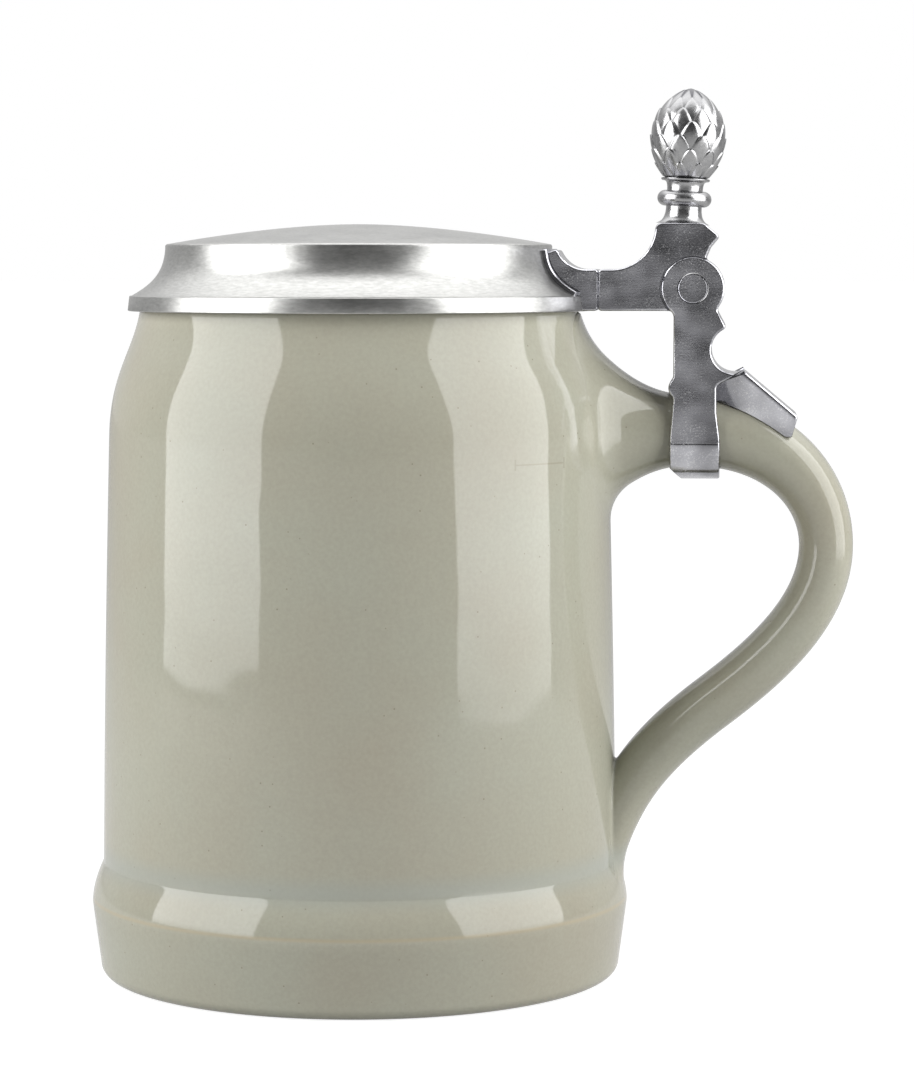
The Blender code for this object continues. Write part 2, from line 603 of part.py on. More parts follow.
def make_thumblift():
    """Turned stem with a bead, under a cone whose scales stand in staggered rows."""
    bead_centre = STEM_FOOT_HEIGHT + BEAD_HEIGHT / 2
    bead_round = BEAD_HEIGHT / 2
    collar = STEM_FOOT_HEIGHT + BEAD_HEIGHT + UPPER_NECK_HEIGHT
    stem = bezier((STEM_FOOT_RADIUS, 0.0), (STEM_NECK_RADIUS, 0.0), (STEM_NECK_RADIUS, bead_centre / 2),
                  (STEM_NECK_RADIUS, STEM_FOOT_HEIGHT), 4)
    stem += arc((BEAD_RADIUS - bead_round, bead_centre), bead_round, -80, 80, 5)
    stem += bezier((STEM_NECK_RADIUS, STEM_FOOT_HEIGHT + BEAD_HEIGHT), (STEM_NECK_RADIUS, collar),
                   (STEM_NECK_RADIUS, collar), (COLLAR_RADIUS, collar), 3)
    sides = 2 * SCALES_ROUND
    rings = [[(r * cos(2 * pi * k / sides), r * sin(2 * pi * k / sides), z) for k in range(sides)]
             for r, z in stem]
    for row in range(1, SCALE_ROWS + 1):
        share = sin(pi / 2 * row / (SCALE_ROWS + CONE_TIP))
        height = collar + CONE_HEIGHT * share
        ring = []
        for k in range(sides):
            relief = SCALE_RELIEF if (k + row) % 2 else 0.0
            radius = cone_radius(share) + relief * cone_radius(share) / CONE_RADIUS
            ring.append((radius * cos(2 * pi * k / sides), radius * sin(2 * pi * k / sides), height))
        rings.append(ring)
    thumblift = loft("thumblift", rings)
    stand = Vector((HINGE_X - STEM_SHIFT, 0.0, HINGE_Z + BLOCK_HEIGHT + SEAM))
    thumblift.data.transform(Matrix.Translation(stand) @ Matrix.Rotation(radians(STEM_LEAN), 4, "Y"))
    return thumblift


def finish(piece, look, smooth_angle, axle=None):
    """Give a piece its material and shading, and hang a moving piece on the hinge axis."""
    piece.data.materials.clear()
    piece.data.materials.append(look)
    piece.data.shade_smooth()
    piece.data.set_sharp_from_angle(angle=radians(smooth_angle))
    if axle is not None:
        piece.data.transform(Matrix.Translation(-axle.location))
        piece.parent = axle


def main():
    for old in list(bpy.data.objects):
        bpy.data.objects.remove(old)
    axle = bpy.data.objects.new("lid_hinge_axis", None)
    axle.location = (HINGE_X, 0.0, HINGE_Z)
    bpy.context.collection.objects.link(axle)

    finish(make_body(), material("glazed stoneware", (0.55, 0.54, 0.45), 0.15, 0.0), 40)
    finish(make_handle(), material("glazed stoneware handle", (0.55, 0.54, 0.45), 0.15, 0.0), 50)
    finish(make_strap(), material("cast pewter strap", (0.45, 0.45, 0.47), 0.35, 1.0), 25)
    finish(make_clasp(), material("cast pewter clasp", (0.60, 0.60, 0.60), 0.35, 1.0), 30)
    finish(make_pin(), material("hinge pin", (0.50, 0.50, 0.52), 0.40, 1.0), 30)
    finish(make_lid(), material("spun pewter lid", (0.72, 0.72, 0.72), 0.32, 1.0), 35, axle)
    finish(make_tang(), material("cast pewter tang", (0.50, 0.50, 0.52), 0.35, 1.0), 25, axle)
    finish(make_shank(), material("cast pewter shank", (0.45, 0.45, 0.47), 0.35, 1.0), 25, axle)
    finish(make_thumblift(), material("polished pewter thumblift", (0.75, 0.75, 0.76), 0.2, 1.0), 20, axle)


main()
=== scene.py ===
"""Looks of a stoneware beer stein with a hinged pewter lid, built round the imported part.

Lengths are in millimetres while a piece is shaped, and its mesh is brought to metres when it is done.
+Z is up, +X points to the handle, and the lid swings about a pin along Y.
Profiles and outlines are lists of (x, z) points. Angles are in degrees from +X towards +Z.
"""
import json
from math import acos, asin, atan2, copysign, cos, degrees, hypot, pi, radians, sin

import bmesh
import bpy
from mathutils import Matrix, Vector
from numpy import interp


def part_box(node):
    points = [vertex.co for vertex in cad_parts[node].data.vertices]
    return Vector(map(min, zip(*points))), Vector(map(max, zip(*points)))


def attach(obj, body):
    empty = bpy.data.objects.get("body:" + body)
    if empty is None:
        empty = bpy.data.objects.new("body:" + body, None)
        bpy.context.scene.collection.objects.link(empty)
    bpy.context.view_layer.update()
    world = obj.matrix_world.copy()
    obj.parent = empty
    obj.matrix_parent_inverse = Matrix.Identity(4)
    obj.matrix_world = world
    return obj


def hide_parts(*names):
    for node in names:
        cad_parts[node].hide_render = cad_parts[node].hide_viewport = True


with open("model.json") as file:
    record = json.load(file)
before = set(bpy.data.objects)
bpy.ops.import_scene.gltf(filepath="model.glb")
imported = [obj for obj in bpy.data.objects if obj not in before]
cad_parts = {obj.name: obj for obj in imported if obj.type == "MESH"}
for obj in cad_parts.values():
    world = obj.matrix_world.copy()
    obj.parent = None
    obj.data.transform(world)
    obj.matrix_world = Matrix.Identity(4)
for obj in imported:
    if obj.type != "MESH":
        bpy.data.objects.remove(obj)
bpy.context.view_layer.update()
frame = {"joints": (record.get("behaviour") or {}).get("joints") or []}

MM = 0.001  # one millimetre in the scene's metres

# Places and sizes read from the frame
FOOT_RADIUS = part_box("stein_body")[1].y / MM
MUG_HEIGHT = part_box("stein_body")[1].z / MM
LID_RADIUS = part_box("lid")[1].y / MM
LID_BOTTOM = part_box("lid")[0].z / MM
PIN_X = frame["joints"][0]["pos_m"][0] / MM
PIN_Z = frame["joints"][0]["pos_m"][2] / MM
PIN_AT = (PIN_X, 0.0, PIN_Z)
PIN_RADIUS = (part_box("hinge_pin")[1].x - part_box("hinge_pin")[0].x) / MM / 2
HALF_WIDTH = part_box("shank")[1].y / MM

# Gaps between pieces
SEAM = 0.3  # between pieces that are luted or soldered together
RUNNING = 0.3  # between the hinge's rings, and round its pin

# Mug
WALL_FOOT = FOOT_RADIUS - 2.1  # radius of the wall just above the foot
WALL_TOP = WALL_FOOT - 1.6  # and below the shoulder
LIP_RADIUS = WALL_TOP - 5.85
WALL = 5.0
FLOOR = 7.5
FOOT_BAND = 13.6  # height of the upright band
FOOT_SLOPE = 7.8  # height of the slope above it
FOOT_BEND = 3.8  # how softly the slope turns over the band
SLOPE_BEND = 0.4  # and how softly it meets the wall
WALL_BELLY = 0.16  # how far the wall swells between its ends
FOOT_DRAFT = 1.5  # how much narrower the band is at the base
BASE_EDGE = 2.2
BASE_LEVEL = 0.02  # faces below this are the bare base
SHOULDER_DEPTH = 25.0  # lip top down to where the wall starts to curve in
SHOULDER_BEND = 12.0
NECK_BEND = 7.4
NECK_LEAN = 8.5
LIP_EDGE = 1.5
LIP_TURN = 10.0  # where the lip's rounding takes over from the neck
INNER_CORNER = 6.0

# Glaze: heights where it runs thin over an edge and where it pools in a hollow, and how far each reaches
THIN_GLAZE = FOOT_BAND + 1.0
THIN_REACH = 0.6
POOLED_GLAZE = FOOT_BAND + FOOT_SLOPE + 1.0
POOLED_REACH = 4.0

# Fill line: its height, its ends along X, its half thickness and the half height of its ticks
MARK_HEIGHT = 97.2
MARK_START = 31.2
MARK_END = 39.6
MARK_LINE = 0.14
MARK_TICK = 1.0
MARK_SHARE = 0.5  # how strongly it shows in the glaze

# Handle: heights from the base, reaches from the wall's foot
HANDLE_TOP = MUG_HEIGHT - 23.8  # centre line under the strap
HANDLE_REACH = 38.8
HANDLE_BELLY = HANDLE_TOP - 21.3
HANDLE_ELBOW = HANDLE_BELLY - 29.6
ELBOW_REACH = 17.8
ELBOW_SLOPE = 37.5
ROOT_HEIGHT = 16.5
ROOT_DEPTH = 4.8
ROOT_LEAN = 17.0
HANDLE_WIDTH = 15.0
STRAP_THICKNESS = 13.4
BELLY_THICKNESS = 10.0
ELBOW_THICKNESS = 10.2
ROOT_THICKNESS = 9.0
TRUMPET = 13.0  # how much thicker the upper end is where it meets the mug
TRUMPET_WIDTH = 7.0
TRUMPET_LENGTH = 14.3
SECTION_POWER = 2.35  # 2 is an oval, and more makes the sides flatter
UPPER_FILLET = 4.3  # glaze and slip fill the corner between the handle and the mug
LOWER_FILLET = 1.3
ROOT_FILLET = 5.0  # the same corner where the lower end runs out on the foot
UPPER_PAD = 0.5  # slip left standing under the lid, over the handle
PAD_NARROWING = 6  # more keeps the pad closer to the top of the handle
SLIP_SUNK = 0.03
SLOPE_REACH = 0.5  # up and down the wall, to find how it leans

# How far the handle's curves run on straight from their ends, as shares of a stretch's reach
STRAP_PULL = 0.60
CROWN_PULL = 0.54
BELLY_PULL = 0.42
ELBOW_PULL = 0.40  # towards the belly
CURL_PULL = 0.58  # from the elbow towards the root
ROOT_PULL = 0.435

# Lid
BAND_HEIGHT = 2.6
BAND_EDGE = 0.2
BAND_DRAFT = 0.3  # the band is narrower at its top
BAND_TURN = (8.0, 60.0)  # rounding of the band's upper edge
SKIRT_WALL = 1.5
SEAT_WIDTH = 2.6
COVE_STEP = 7.0
COVE_HEIGHT = 8.75
COVE_FOOT_PULL = (0.63, 0.26)  # shares of the cove's width and height that bend its foot
COVE_TOP_PULL = (0.06, 0.50)  # and its top
TOP_EDGE = 0.5
TOP_TURN = 80.0  # rounding of the edge between the cove and the dome
DOME_RISE = 3.7
DOME_POWER = 1.68  # 2 is a sphere, and less makes the slopes straighter
DOME_ROUND = 0.15  # share of the dome's radius that is round on top
LID_WALL = 1.6
HOLLOW_FOOT_PULL = (0.5, 0.2)  # the same bends under the lid
HOLLOW_TOP_PULL = (0.1, 0.5)
SEAT_HEIGHT = MUG_HEIGHT + SEAM
COVE_TOP = LID_BOTTOM + BAND_HEIGHT + COVE_HEIGHT
TOP_RADIUS = LID_RADIUS - COVE_STEP

# Hinge, measured from the pin's centre
RING_RADIUS = 5.8
MIDDLE_RING = 3.0
OUTER_RING = 3.1
STRAP_RINGS = ((-HALF_WIDTH, -HALF_WIDTH + OUTER_RING), (-MIDDLE_RING / 2, MIDDLE_RING / 2),
               (HALF_WIDTH - OUTER_RING, HALF_WIDTH))  # along Y
PIN_SUNK = 0.1  # below the outer rings' faces
PIN_EDGE = 0.2
PLATE_EDGE = 0.42  # rounding along the cast plates' rims
CORNER_CUT = 1.7  # their corners are rounded over this many times as much
ARM_BELOW = 4.1
ARM_ABOVE = 3.5
JOINT_X = LID_RADIUS + 1.9 - PIN_X
BLOCK_HEIGHT = 12.0
BLOCK_BACK = 6.9
BLOCK_CORNER = 1.2
BLOCK_CURVE = 8.0
BLOCK_CURVE_START = -6.0
BLOCK_FRONT = 1.9
HOOK_ANGLE = 67.0
HOOK_ROOT = 8.2
HOOK_TIP = 10.7
HOOK_LEAN = 4.0
POST_BACK = 3.5
POST_FRONT = 4.4
SPUR_ANGLE = -41.0
SPUR_TIP = 9.5
SPUR_LEAN = 8.5
NOTCH_RADIUS = 4.3
NOTCH_START = 111.0
NOTCH_END = 300.0
SADDLE_LIP = 0.9  # bead on the mug's side, where the strap was cast against the handle
SADDLE_LIP_Z = -18.2
SADDLE_LIP_INSET = 1.2  # post's back to the middle of the bead's curve
SADDLE_LIP_TURN = (235.0, 125.0)
TAIL_STEP = 0.5
TAIL_SUNK = 0.35  # the tail starts this far below the notch's corner
TAIL_LIP = 1.1  # upright strip along its top, above the leaning flanks
TAIL_EDGE = 0.4
TAIL_LENGTH = 12.6
TAIL_SLOPE = 40.0
TAIL_END = 4.2
TAIL_END_LEAN = 65.0
TAIL_FLANK = 29.0
LEG_DROP = 2.4  # handle's centre line down to the ends of the strap's legs
LEG_FOOT = 1.5  # upright part of the legs' ends
LEG_FLARE = 6.0  # height over which the legs widen to the clasp
CLASP_WALL = 1.9
CLASP_LAP = 0.6
CLASP_PROUD = 0.06  # over the legs' faces
CLASP_OVERLAP = 0.9  # of the legs' ends
CLASP_POWER = 3.0  # squarer than the handle
CLASP_CORNER = 2.2
CLASP_EDGE = 0.3

# Tang
TANG_REACH = 1.0  # in under the lid's top edge, before it is cut to the lid
TANG_FLAT = 2.2
TANG_CURVE = 5.7
TANG_SWEEP = 70.0
LEAF_ANGLE = 16.0  # half the leaf's angle about the lid's axis
LEAF_WALL = 0.9
LEAF_EDGE = 0.4
SOLDER_DEPTH = 0.12  # how deep the tang sits in the lid's face

# Thumblift
STEM_SHIFT = -2.0  # from the pin's centre, towards the lid
STEM_LEAN = 3.2
STEM_SUNK = 0.15  # how deep the stem sits in the solder on the block
STEM_FOOT_RADIUS = 5.0
STEM_NECK_RADIUS = 3.3
STEM_FOOT_HEIGHT = 3.2
STEM_FLARE = 0.4  # how sharply the neck opens at the foot and under the collar
BEAD_RADIUS = 5.0
BEAD_HEIGHT = 2.9
BEAD_TURN = 80.0  # how far the bead's curve goes, up and down
UPPER_NECK_HEIGHT = 2.3
COLLAR_RADIUS = 4.5
COLLAR_HEIGHT = 0.5
COLLAR_EDGE = 0.2
CONE_FOOT = 3.7  # radius of the cone under its lowest scales
CONE_RADIUS = 6.25
CONE_HEIGHT = 16.5
CONE_BELLY = 0.45  # where the cone is thickest, as a share of its height
CONE_POINT = 0.68  # 0.5 is an egg's end, and more makes it pointed
SCALES_ROUND = 10
SCALE_ROWS = 7
SCALE_TURN = 84.0  # of the first scale, round the cone
SCALE_FIRST = 3.1  # first row's points, along the cone's side from the collar
SCALE_PITCH = 2.6  # from row to row along the side
SCALE_LENGTH = 5.4
SCALE_STEP = 0.55  # how far a scale's point stands off the one behind it
SCALE_CROWN = 0.30
SCALE_POINT = 0.58  # 1 is a straight-sided point, and less makes it blunter
SCALE_FLATNESS = 4  # of the crown, from side to side
SCALE_LEAST = 0.15  # share of their height that the scales keep at the cone's tip

# Camera: fitted to the photograph, whose frame is 914 by 1080 pixels
CAMERA_AT = (69.2, -658.35, 133.6)
CAMERA_TILT = 4.54  # degrees below level
CAMERA_TURN = 4.42  # degrees from +Y towards -X
LENS = 118.0
SENSOR = 36.0  # along the frame's long side
SIGHT = (10.0, 100000.0)  # nearest and farthest that it sees

# Room and floor: brightness, where 1 shows as white
AMBIENT = 0.05  # light of the room on matt surfaces
WALL_TOWARDS = (0.0, 0.80, 0.60)  # middle of the bright wall, behind the object and up
WALL_DARK = 0.135  # the room on the camera's side
SIDES = 0.9  # and far out to both sides, as a share
SIDES_LEAN = -0.6  # higher up, the sides start further out
LEVEL = 0.62  # straight across
CEILING = 2.5  # straight up
FLOOR_GLOW = 0.80  # share of white that the floor shows without the lamps
FLOOR_MIRRORED = 0.45  # and what the glaze and the metal mirror of it
FLOOR_NEAR = 120.0  # from here outwards the floor brightens
FLOOR_FAR = 700.0  # and from here it is white
FLOOR_HALF = 20000.0
FLOOR_DROP = 0.05  # under the base

# Fineness of the meshes
TURN_STEPS = 224
WALL_STEPS = 24
DRUM_STEPS = 96
HANDLE_SIDES = 72
HANDLE_RINGS = 220
HANDLE_STEPS = 40
FILLET_STEPS = 12
PAD_STEPS = 5
CONE_ROWS = 150
CONE_STEPS = 320
CONE_SPACING = 0.9  # less sets the cone's rows closer at its foot
MERGE = 0.0005  # points closer than this are one
CORNER_TURN = 25.0  # a sharper turn is a corner
CORNER_PLACES = (0.0, 0.17, 0.34, 0.5, 0.66, 0.83, 1.0)  # of the points round a softened corner
CORNER_CLEAR = 1.05  # other points keep this many cuts away from it
CAST_SHARP = 30.0  # a sharper edge of a casting isn't shaded smooth


def linear(code):
    """Linear colour of an sRGB hex code."""
    parts = [int(code[i:i + 2], 16) / 255 for i in (1, 3, 5)]
    return [c / 12.92 if c <= 0.04045 else ((c + 0.055) / 1.055) ** 2.4 for c in parts] + [1.0]


def point_at(angle, radius, centre=(0.0, 0.0)):
    """Point at an angle and a distance from a centre."""
    return (centre[0] + radius * cos(radians(angle)), centre[1] + radius * sin(radians(angle)))


def arc(centre, radius, start, end, steps):
    """Points along an arc, both ends included."""
    return [point_at(start + (end - start) * i / steps, radius, centre) for i in range(steps + 1)]


def line(a, b, steps):
    """Points along a straight line, both ends included."""
    return [(a[0] + (b[0] - a[0]) * i / steps, a[1] + (b[1] - a[1]) * i / steps) for i in range(steps + 1)]


def bezier(p0, p1, p2, p3, steps):
    """Points along a cubic curve, both ends included."""
    points = []
    for i in range(steps + 1):
        t = i / steps
        weights = ((1 - t) ** 3, 3 * t * (1 - t) ** 2, 3 * t * t * (1 - t), t ** 3)
        points.append(tuple(sum(w * p[j] for w, p in zip(weights, (p0, p1, p2, p3))) for j in (0, 1)))
    return points


def bend(start, corner, end, t):
    """Point at a share of the way along a curve that rounds off a corner."""
    return start * (1 - t) ** 2 + corner * 2 * t * (1 - t) + end * t * t


def bulged(value, power):
    """Sine or cosine for a circle whose sides are flatter the more its power is over 2."""
    return copysign(abs(value) ** (2 / power), value)


def runs_along(points):
    """Length of the way to each point of a line."""
    runs = [0.0]
    for a, b in zip(points, points[1:]):
        runs.append(runs[-1] + (b - a).length)
    return runs


def offset(points, distance):
    """Path moved to its right-hand side, as walked from the first point to the last."""
    moved = []
    for i, (x, z) in enumerate(points):
        before = points[max(i - 1, 0)]
        after = points[min(i + 1, len(points) - 1)]
        step = Vector((after[0] - before[0], after[1] - before[1])).normalized()
        moved.append((x + step.y * distance, z - step.x * distance))
    return moved


def turned(profile, steps=TURN_STEPS, angle=2 * pi):
    """Skin of a profile turned about Z, closed into itself if it goes all the way round."""
    bm = bmesh.new()
    verts = [bm.verts.new((x, 0.0, z)) for x, z in profile]
    edges = [bm.edges.new(pair) for pair in zip(verts, verts[1:])]
    bmesh.ops.spin(bm, geom=verts + edges, cent=(0, 0, 0), axis=(0, 0, 1), angle=angle, steps=steps,
                   use_merge=angle == 2 * pi)
    bmesh.ops.remove_doubles(bm, verts=bm.verts, dist=MERGE)
    return bm


def round_off(bm, edges, size):
    """Bevel some edges with a round profile."""
    bmesh.ops.bevel(bm, geom=edges, offset=size, offset_type="OFFSET", segments=3, profile=0.5,
                    affect="EDGES", clamp_overlap=False, material=-1)


def sharp_edges(bm):
    """Edges at which the surface turns a corner."""
    return [e for e in bm.edges if e.calc_face_angle() > radians(CORNER_TURN)]


def slice_off(bm, at, normal):
    """Cut away what lies past a plane, and give the edges of the opening."""
    cut = bmesh.ops.bisect_plane(bm, geom=bm.verts[:] + bm.edges[:] + bm.faces[:], plane_co=at,
                                 plane_no=normal, clear_outer=True)
    return [e for e in cut["geom_cut"] if isinstance(e, bmesh.types.BMEdge)]


def soften(outline, cut):
    """Closed outline whose corners are rounded, each over a length along both of its sides."""
    points = [Vector(p) for p in outline]
    count = len(points)
    closed = points + points[:1]
    runs = runs_along(closed)
    corners = [i for i in range(count)
               if (points[i] - points[i - 1]).angle(closed[i + 1] - points[i]) > radians(CORNER_TURN)]
    rounded = []
    for i in range(count):
        if i in corners:
            ends = [[float(interp((runs[i] + d) % runs[-1], runs, [p[j] for p in closed])) for j in (0, 1)]
                    for d in (-cut, cut)]
            rounded += [bend(Vector(ends[0]), points[i], Vector(ends[1]), t) for t in CORNER_PLACES]
        elif all(min((runs[i] - runs[c]) % runs[-1], (runs[c] - runs[i]) % runs[-1]) > CORNER_CLEAR * cut
                 for c in corners):
            rounded.append(points[i])
    return [tuple(p) for p in rounded]


def plate(outline, half_width, edge=PLATE_EDGE):
    """Outline drawn out along Y to both sides, with rounded corners and rims."""
    bm = bmesh.new()
    if edge:
        outline = soften(outline, CORNER_CUT * edge)
    front = bm.faces.new([bm.verts.new((x, -half_width, z)) for x, z in outline])
    drawn = bmesh.ops.extrude_face_region(bm, geom=[front], use_keep_orig=True)["geom"]
    bmesh.ops.translate(bm, verts=[v for v in drawn if isinstance(v, bmesh.types.BMVert)],
                        vec=(0.0, 2 * half_width, 0.0))
    bmesh.ops.recalc_face_normals(bm, faces=bm.faces)
    if edge:
        caps = [f for f in bm.faces if abs(f.normal.y) > 0.99]
        round_off(bm, list({e for cap in caps for e in cap.edges}), edge)
    return bm


def drum(radius, start, end):
    """Cylinder about the hinge axis, between two places along Y."""
    bm = bmesh.new()
    place = Matrix.Translation((0.0, (start + end) / 2, 0.0)) @ Matrix.Rotation(pi / 2, 4, "X")
    bmesh.ops.create_cone(bm, cap_ends=True, segments=DRUM_STEPS, radius1=radius, radius2=radius,
                          depth=end - start, matrix=place)
    return bm


def to_object(name, bm, at=(0.0, 0.0, 0.0)):
    """Named object from a bmesh, moved to its place and brought to metres."""
    bmesh.ops.recalc_face_normals(bm, faces=bm.faces)
    bmesh.ops.translate(bm, verts=bm.verts, vec=at)
    bmesh.ops.scale(bm, verts=bm.verts, vec=(MM, MM, MM))
    mesh = bpy.data.meshes.new(name)
    bm.to_mesh(mesh)
    bm.free()
    made = bpy.data.objects.new(name, mesh)
    bpy.context.collection.objects.link(made)
    return made


def combine(target, tool, operation):
    """Cut a piece with a tool or join the two. The tool is used up."""
    step = target.modifiers.new(operation.title(), "BOOLEAN")
    step.operation = operation
    step.solver = "EXACT"
    step.object = tool
    result = bpy.data.meshes.new_from_object(target.evaluated_get(bpy.context.evaluated_depsgraph_get()))
    target.modifiers.clear()
    target.data = result
    bpy.data.objects.remove(tool)


def drill(piece, radius, start, end):
    """Cut a round space about the hinge axis into a piece, between two places along Y."""
    combine(piece, to_object("drill", drum(radius, start, end), PIN_AT), "DIFFERENCE")


def dress(piece, look, body, nodes, sharp=40.0):
    """Shade a finished piece, give it its material, hang it on the body it rides on and hide the parts that
    it stands for.
    """
    piece.data.materials.clear()
    piece.data.materials.append(look)
    piece.data.shade_smooth()
    piece.data.set_sharp_from_angle(angle=radians(sharp))
    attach(piece, body)
    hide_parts(*nodes)
    return piece


def keep_flats(piece):
    """Let the large flat faces set the normals, so that only the rounded rims shade."""
    step = piece.modifiers.new("Flat faces", "WEIGHTED_NORMAL")
    step.keep_sharp = True


def mug_outside():
    """Outer profile of the mug, from the edge of the base up to the start of the lip."""
    base = FOOT_RADIUS - FOOT_DRAFT
    slope_top = FOOT_BAND + FOOT_SLOPE
    shoulder = (WALL_TOP, MUG_HEIGHT - SHOULDER_DEPTH)
    lean = degrees(atan2(shoulder[1] - slope_top, WALL_TOP - WALL_FOOT))
    lip = (LIP_RADIUS, MUG_HEIGHT - LIP_EDGE)
    points = arc((base - BASE_EDGE, BASE_EDGE), BASE_EDGE, -90, 0, steps=8)
    points += line((base, BASE_EDGE), (FOOT_RADIUS, FOOT_BAND), steps=8)[1:-1]
    points += bezier((FOOT_RADIUS, FOOT_BAND), (FOOT_RADIUS, FOOT_BAND + FOOT_BEND),
                     (WALL_FOOT, slope_top - SLOPE_BEND), (WALL_FOOT, slope_top), steps=24)
    wall = line((WALL_FOOT, slope_top), shoulder, WALL_STEPS)
    points += [(x + WALL_BELLY * sin(pi * i / WALL_STEPS), z) for i, (x, z) in enumerate(wall)][1:-1]
    points += bezier(shoulder, point_at(lean, SHOULDER_BEND, shoulder),
                     point_at(NECK_LEAN - 90, NECK_BEND, lip), lip, steps=28)
    return points


MUG_OUTSIDE = mug_outside()


def make_mug(glaze, bare_clay):
    """Hollow mug, glazed all over but for the base that it stands on."""
    lip_height = MUG_HEIGHT - LIP_EDGE
    corner = (WALL_FOOT - WALL - INNER_CORNER, FLOOR + INNER_CORNER)
    profile = [(0.0, 0.0)] + MUG_OUTSIDE
    profile += arc((LIP_RADIUS - LIP_EDGE, lip_height), LIP_EDGE, LIP_TURN, 90, steps=6)
    profile += arc((LIP_RADIUS - WALL + LIP_EDGE, lip_height), LIP_EDGE, 90, 180, steps=6)
    profile += [(x - WALL, z) for x, z in reversed(MUG_OUTSIDE) if corner[1] + WALL < z < lip_height]
    profile += arc(corner, INNER_CORNER, 0, -90, steps=8)
    profile.append((0.0, FLOOR))
    mug = to_object("glazed_mug", turned(profile))
    dress(mug, glaze, "mug", ["stein_body"])
    mug.data.materials.append(bare_clay)
    for face in mug.data.polygons:
        if face.center.z < BASE_LEVEL * MM:
            face.material_index = 1


def handle_line():
    """Centre line of the handle with its thickness and width, from the upper end to the lower."""
    start = (WALL_TOP - WALL, HANDLE_TOP)
    strap = (PIN_X, HANDLE_TOP)
    belly = (WALL_FOOT + HANDLE_REACH, HANDLE_BELLY)
    elbow = (WALL_FOOT + ELBOW_REACH, HANDLE_ELBOW)
    root = (WALL_FOOT - ROOT_DEPTH, ROOT_HEIGHT)
    crown = HANDLE_TOP - HANDLE_BELLY
    bow = HANDLE_BELLY - HANDLE_ELBOW
    sweep = belly[0] - strap[0]
    curl = elbow[1] - root[1]
    stretches = (
        line(start, strap, HANDLE_STEPS),
        bezier(strap, (strap[0] + STRAP_PULL * sweep, strap[1]),
               (belly[0], belly[1] + CROWN_PULL * crown), belly, HANDLE_STEPS),
        bezier(belly, (belly[0], belly[1] - BELLY_PULL * bow),
               point_at(ELBOW_SLOPE, ELBOW_PULL * bow, elbow), elbow, HANDLE_STEPS),
        bezier(elbow, point_at(ELBOW_SLOPE + 180, CURL_PULL * curl, elbow),
               point_at(90 - ROOT_LEAN, ROOT_PULL * curl, root), root, HANDLE_STEPS))
    thickness = (STRAP_THICKNESS, STRAP_THICKNESS, BELLY_THICKNESS, ELBOW_THICKNESS, ROOT_THICKNESS)
    made = []
    for i, stretch in enumerate(stretches):
        for j, point in enumerate(stretch[1:] if i else stretch):
            t = (j + (1 if i else 0)) / HANDLE_STEPS
            thick = thickness[i] + (thickness[i + 1] - thickness[i]) * t * t * (3 - 2 * t)
            flare = max(0.0, 1 - (point[0] - WALL_TOP) / TRUMPET_LENGTH) if i == 0 else 0.0
            made.append((point, thick + TRUMPET * flare ** 2, HANDLE_WIDTH + TRUMPET_WIDTH * flare ** 2))
    return made


def handle_rings(grow=0.0):
    """Rings of points round the handle's centre line, each with the line's own point."""
    course = handle_line()
    rings = []
    for i, (point, thick, width) in enumerate(course):
        before = Vector(course[max(i - 1, 0)][0])
        after = Vector(course[min(i + 1, len(course) - 1)][0])
        along = (after - before).normalized()
        ring = []
        for k in range(HANDLE_SIDES):
            turn = 2 * pi * k / HANDLE_SIDES
            out = (thick / 2 + grow) * bulged(cos(turn), SECTION_POWER)
            side = (width / 2 + grow) * bulged(sin(turn), SECTION_POWER)
            ring.append(Vector((point[0] - along.y * out, side, point[1] + along.x * out)))
        rings.append((Vector((point[0], 0.0, point[1])), ring))
    return rings


def handle_core(grow):
    """Closed bar of the handle's shape, made larger all round."""
    bm = bmesh.new()
    loops = []
    for _, ring in handle_rings(grow):
        verts = [bm.verts.new(p) for p in ring]
        loops.append([bm.edges.new(pair) for pair in zip(verts, verts[1:] + verts[:1])])
    for low, high in zip(loops, loops[1:]):
        bmesh.ops.bridge_loops(bm, edges=low + high)
    bmesh.ops.edgeloop_fill(bm, edges=loops[0])
    bmesh.ops.edgeloop_fill(bm, edges=loops[-1])
    return to_object("handle_core", bm)


def mug_radius(z):
    """Radius of the mug's outside at a height."""
    return float(interp(z, [p[1] for p in MUG_OUTSIDE], [p[0] for p in MUG_OUTSIDE]))


def outside_by(point, pad):
    """How far a point lies outside the mug's wall and a pad of slip on it."""
    return hypot(point.x, point.y) - mug_radius(point.z) - pad


def on_mug(point, pad):
    """The point moved straight in or out to a height over the mug's face."""
    share = (mug_radius(point.z) + pad) / hypot(point.x, point.y)
    return Vector((point.x * share, point.y * share, point.z))


def land(points, away, fillet, pad):
    """End a line that runs into the mug on a pad of slip, in a fillet that leaves it tangent."""
    kept = []
    for before, after in zip(points, points[1:]):
        kept.append(before)
        if outside_by(after, pad) < 0:
            break
    share = outside_by(before, pad) / (outside_by(before, pad) - outside_by(after, pad))
    hit = before.lerp(after, share)
    while (kept[-1] - hit).length < fillet:
        kept.pop()
    slope = (mug_radius(hit.z + SLOPE_REACH) - mug_radius(hit.z - SLOPE_REACH)) / (2 * SLOPE_REACH)
    normal = Vector((hit.x, hit.y, -slope * hypot(hit.x, hit.y))).normalized()
    spread = (away - normal * away.dot(normal)).normalized()
    foot = on_mug(hit + spread * fillet, pad)
    start = hit + (kept[-1] - hit).normalized() * fillet
    kept += [bend(start, hit, foot, i / FILLET_STEPS) for i in range(FILLET_STEPS + 1)]
    for i in range(1, PAD_STEPS + 1):
        turn = i / PAD_STEPS * pi / 2
        kept.append(on_mug(foot + spread * pad * sin(turn), pad * cos(turn) - SLIP_SUNK))
    return kept


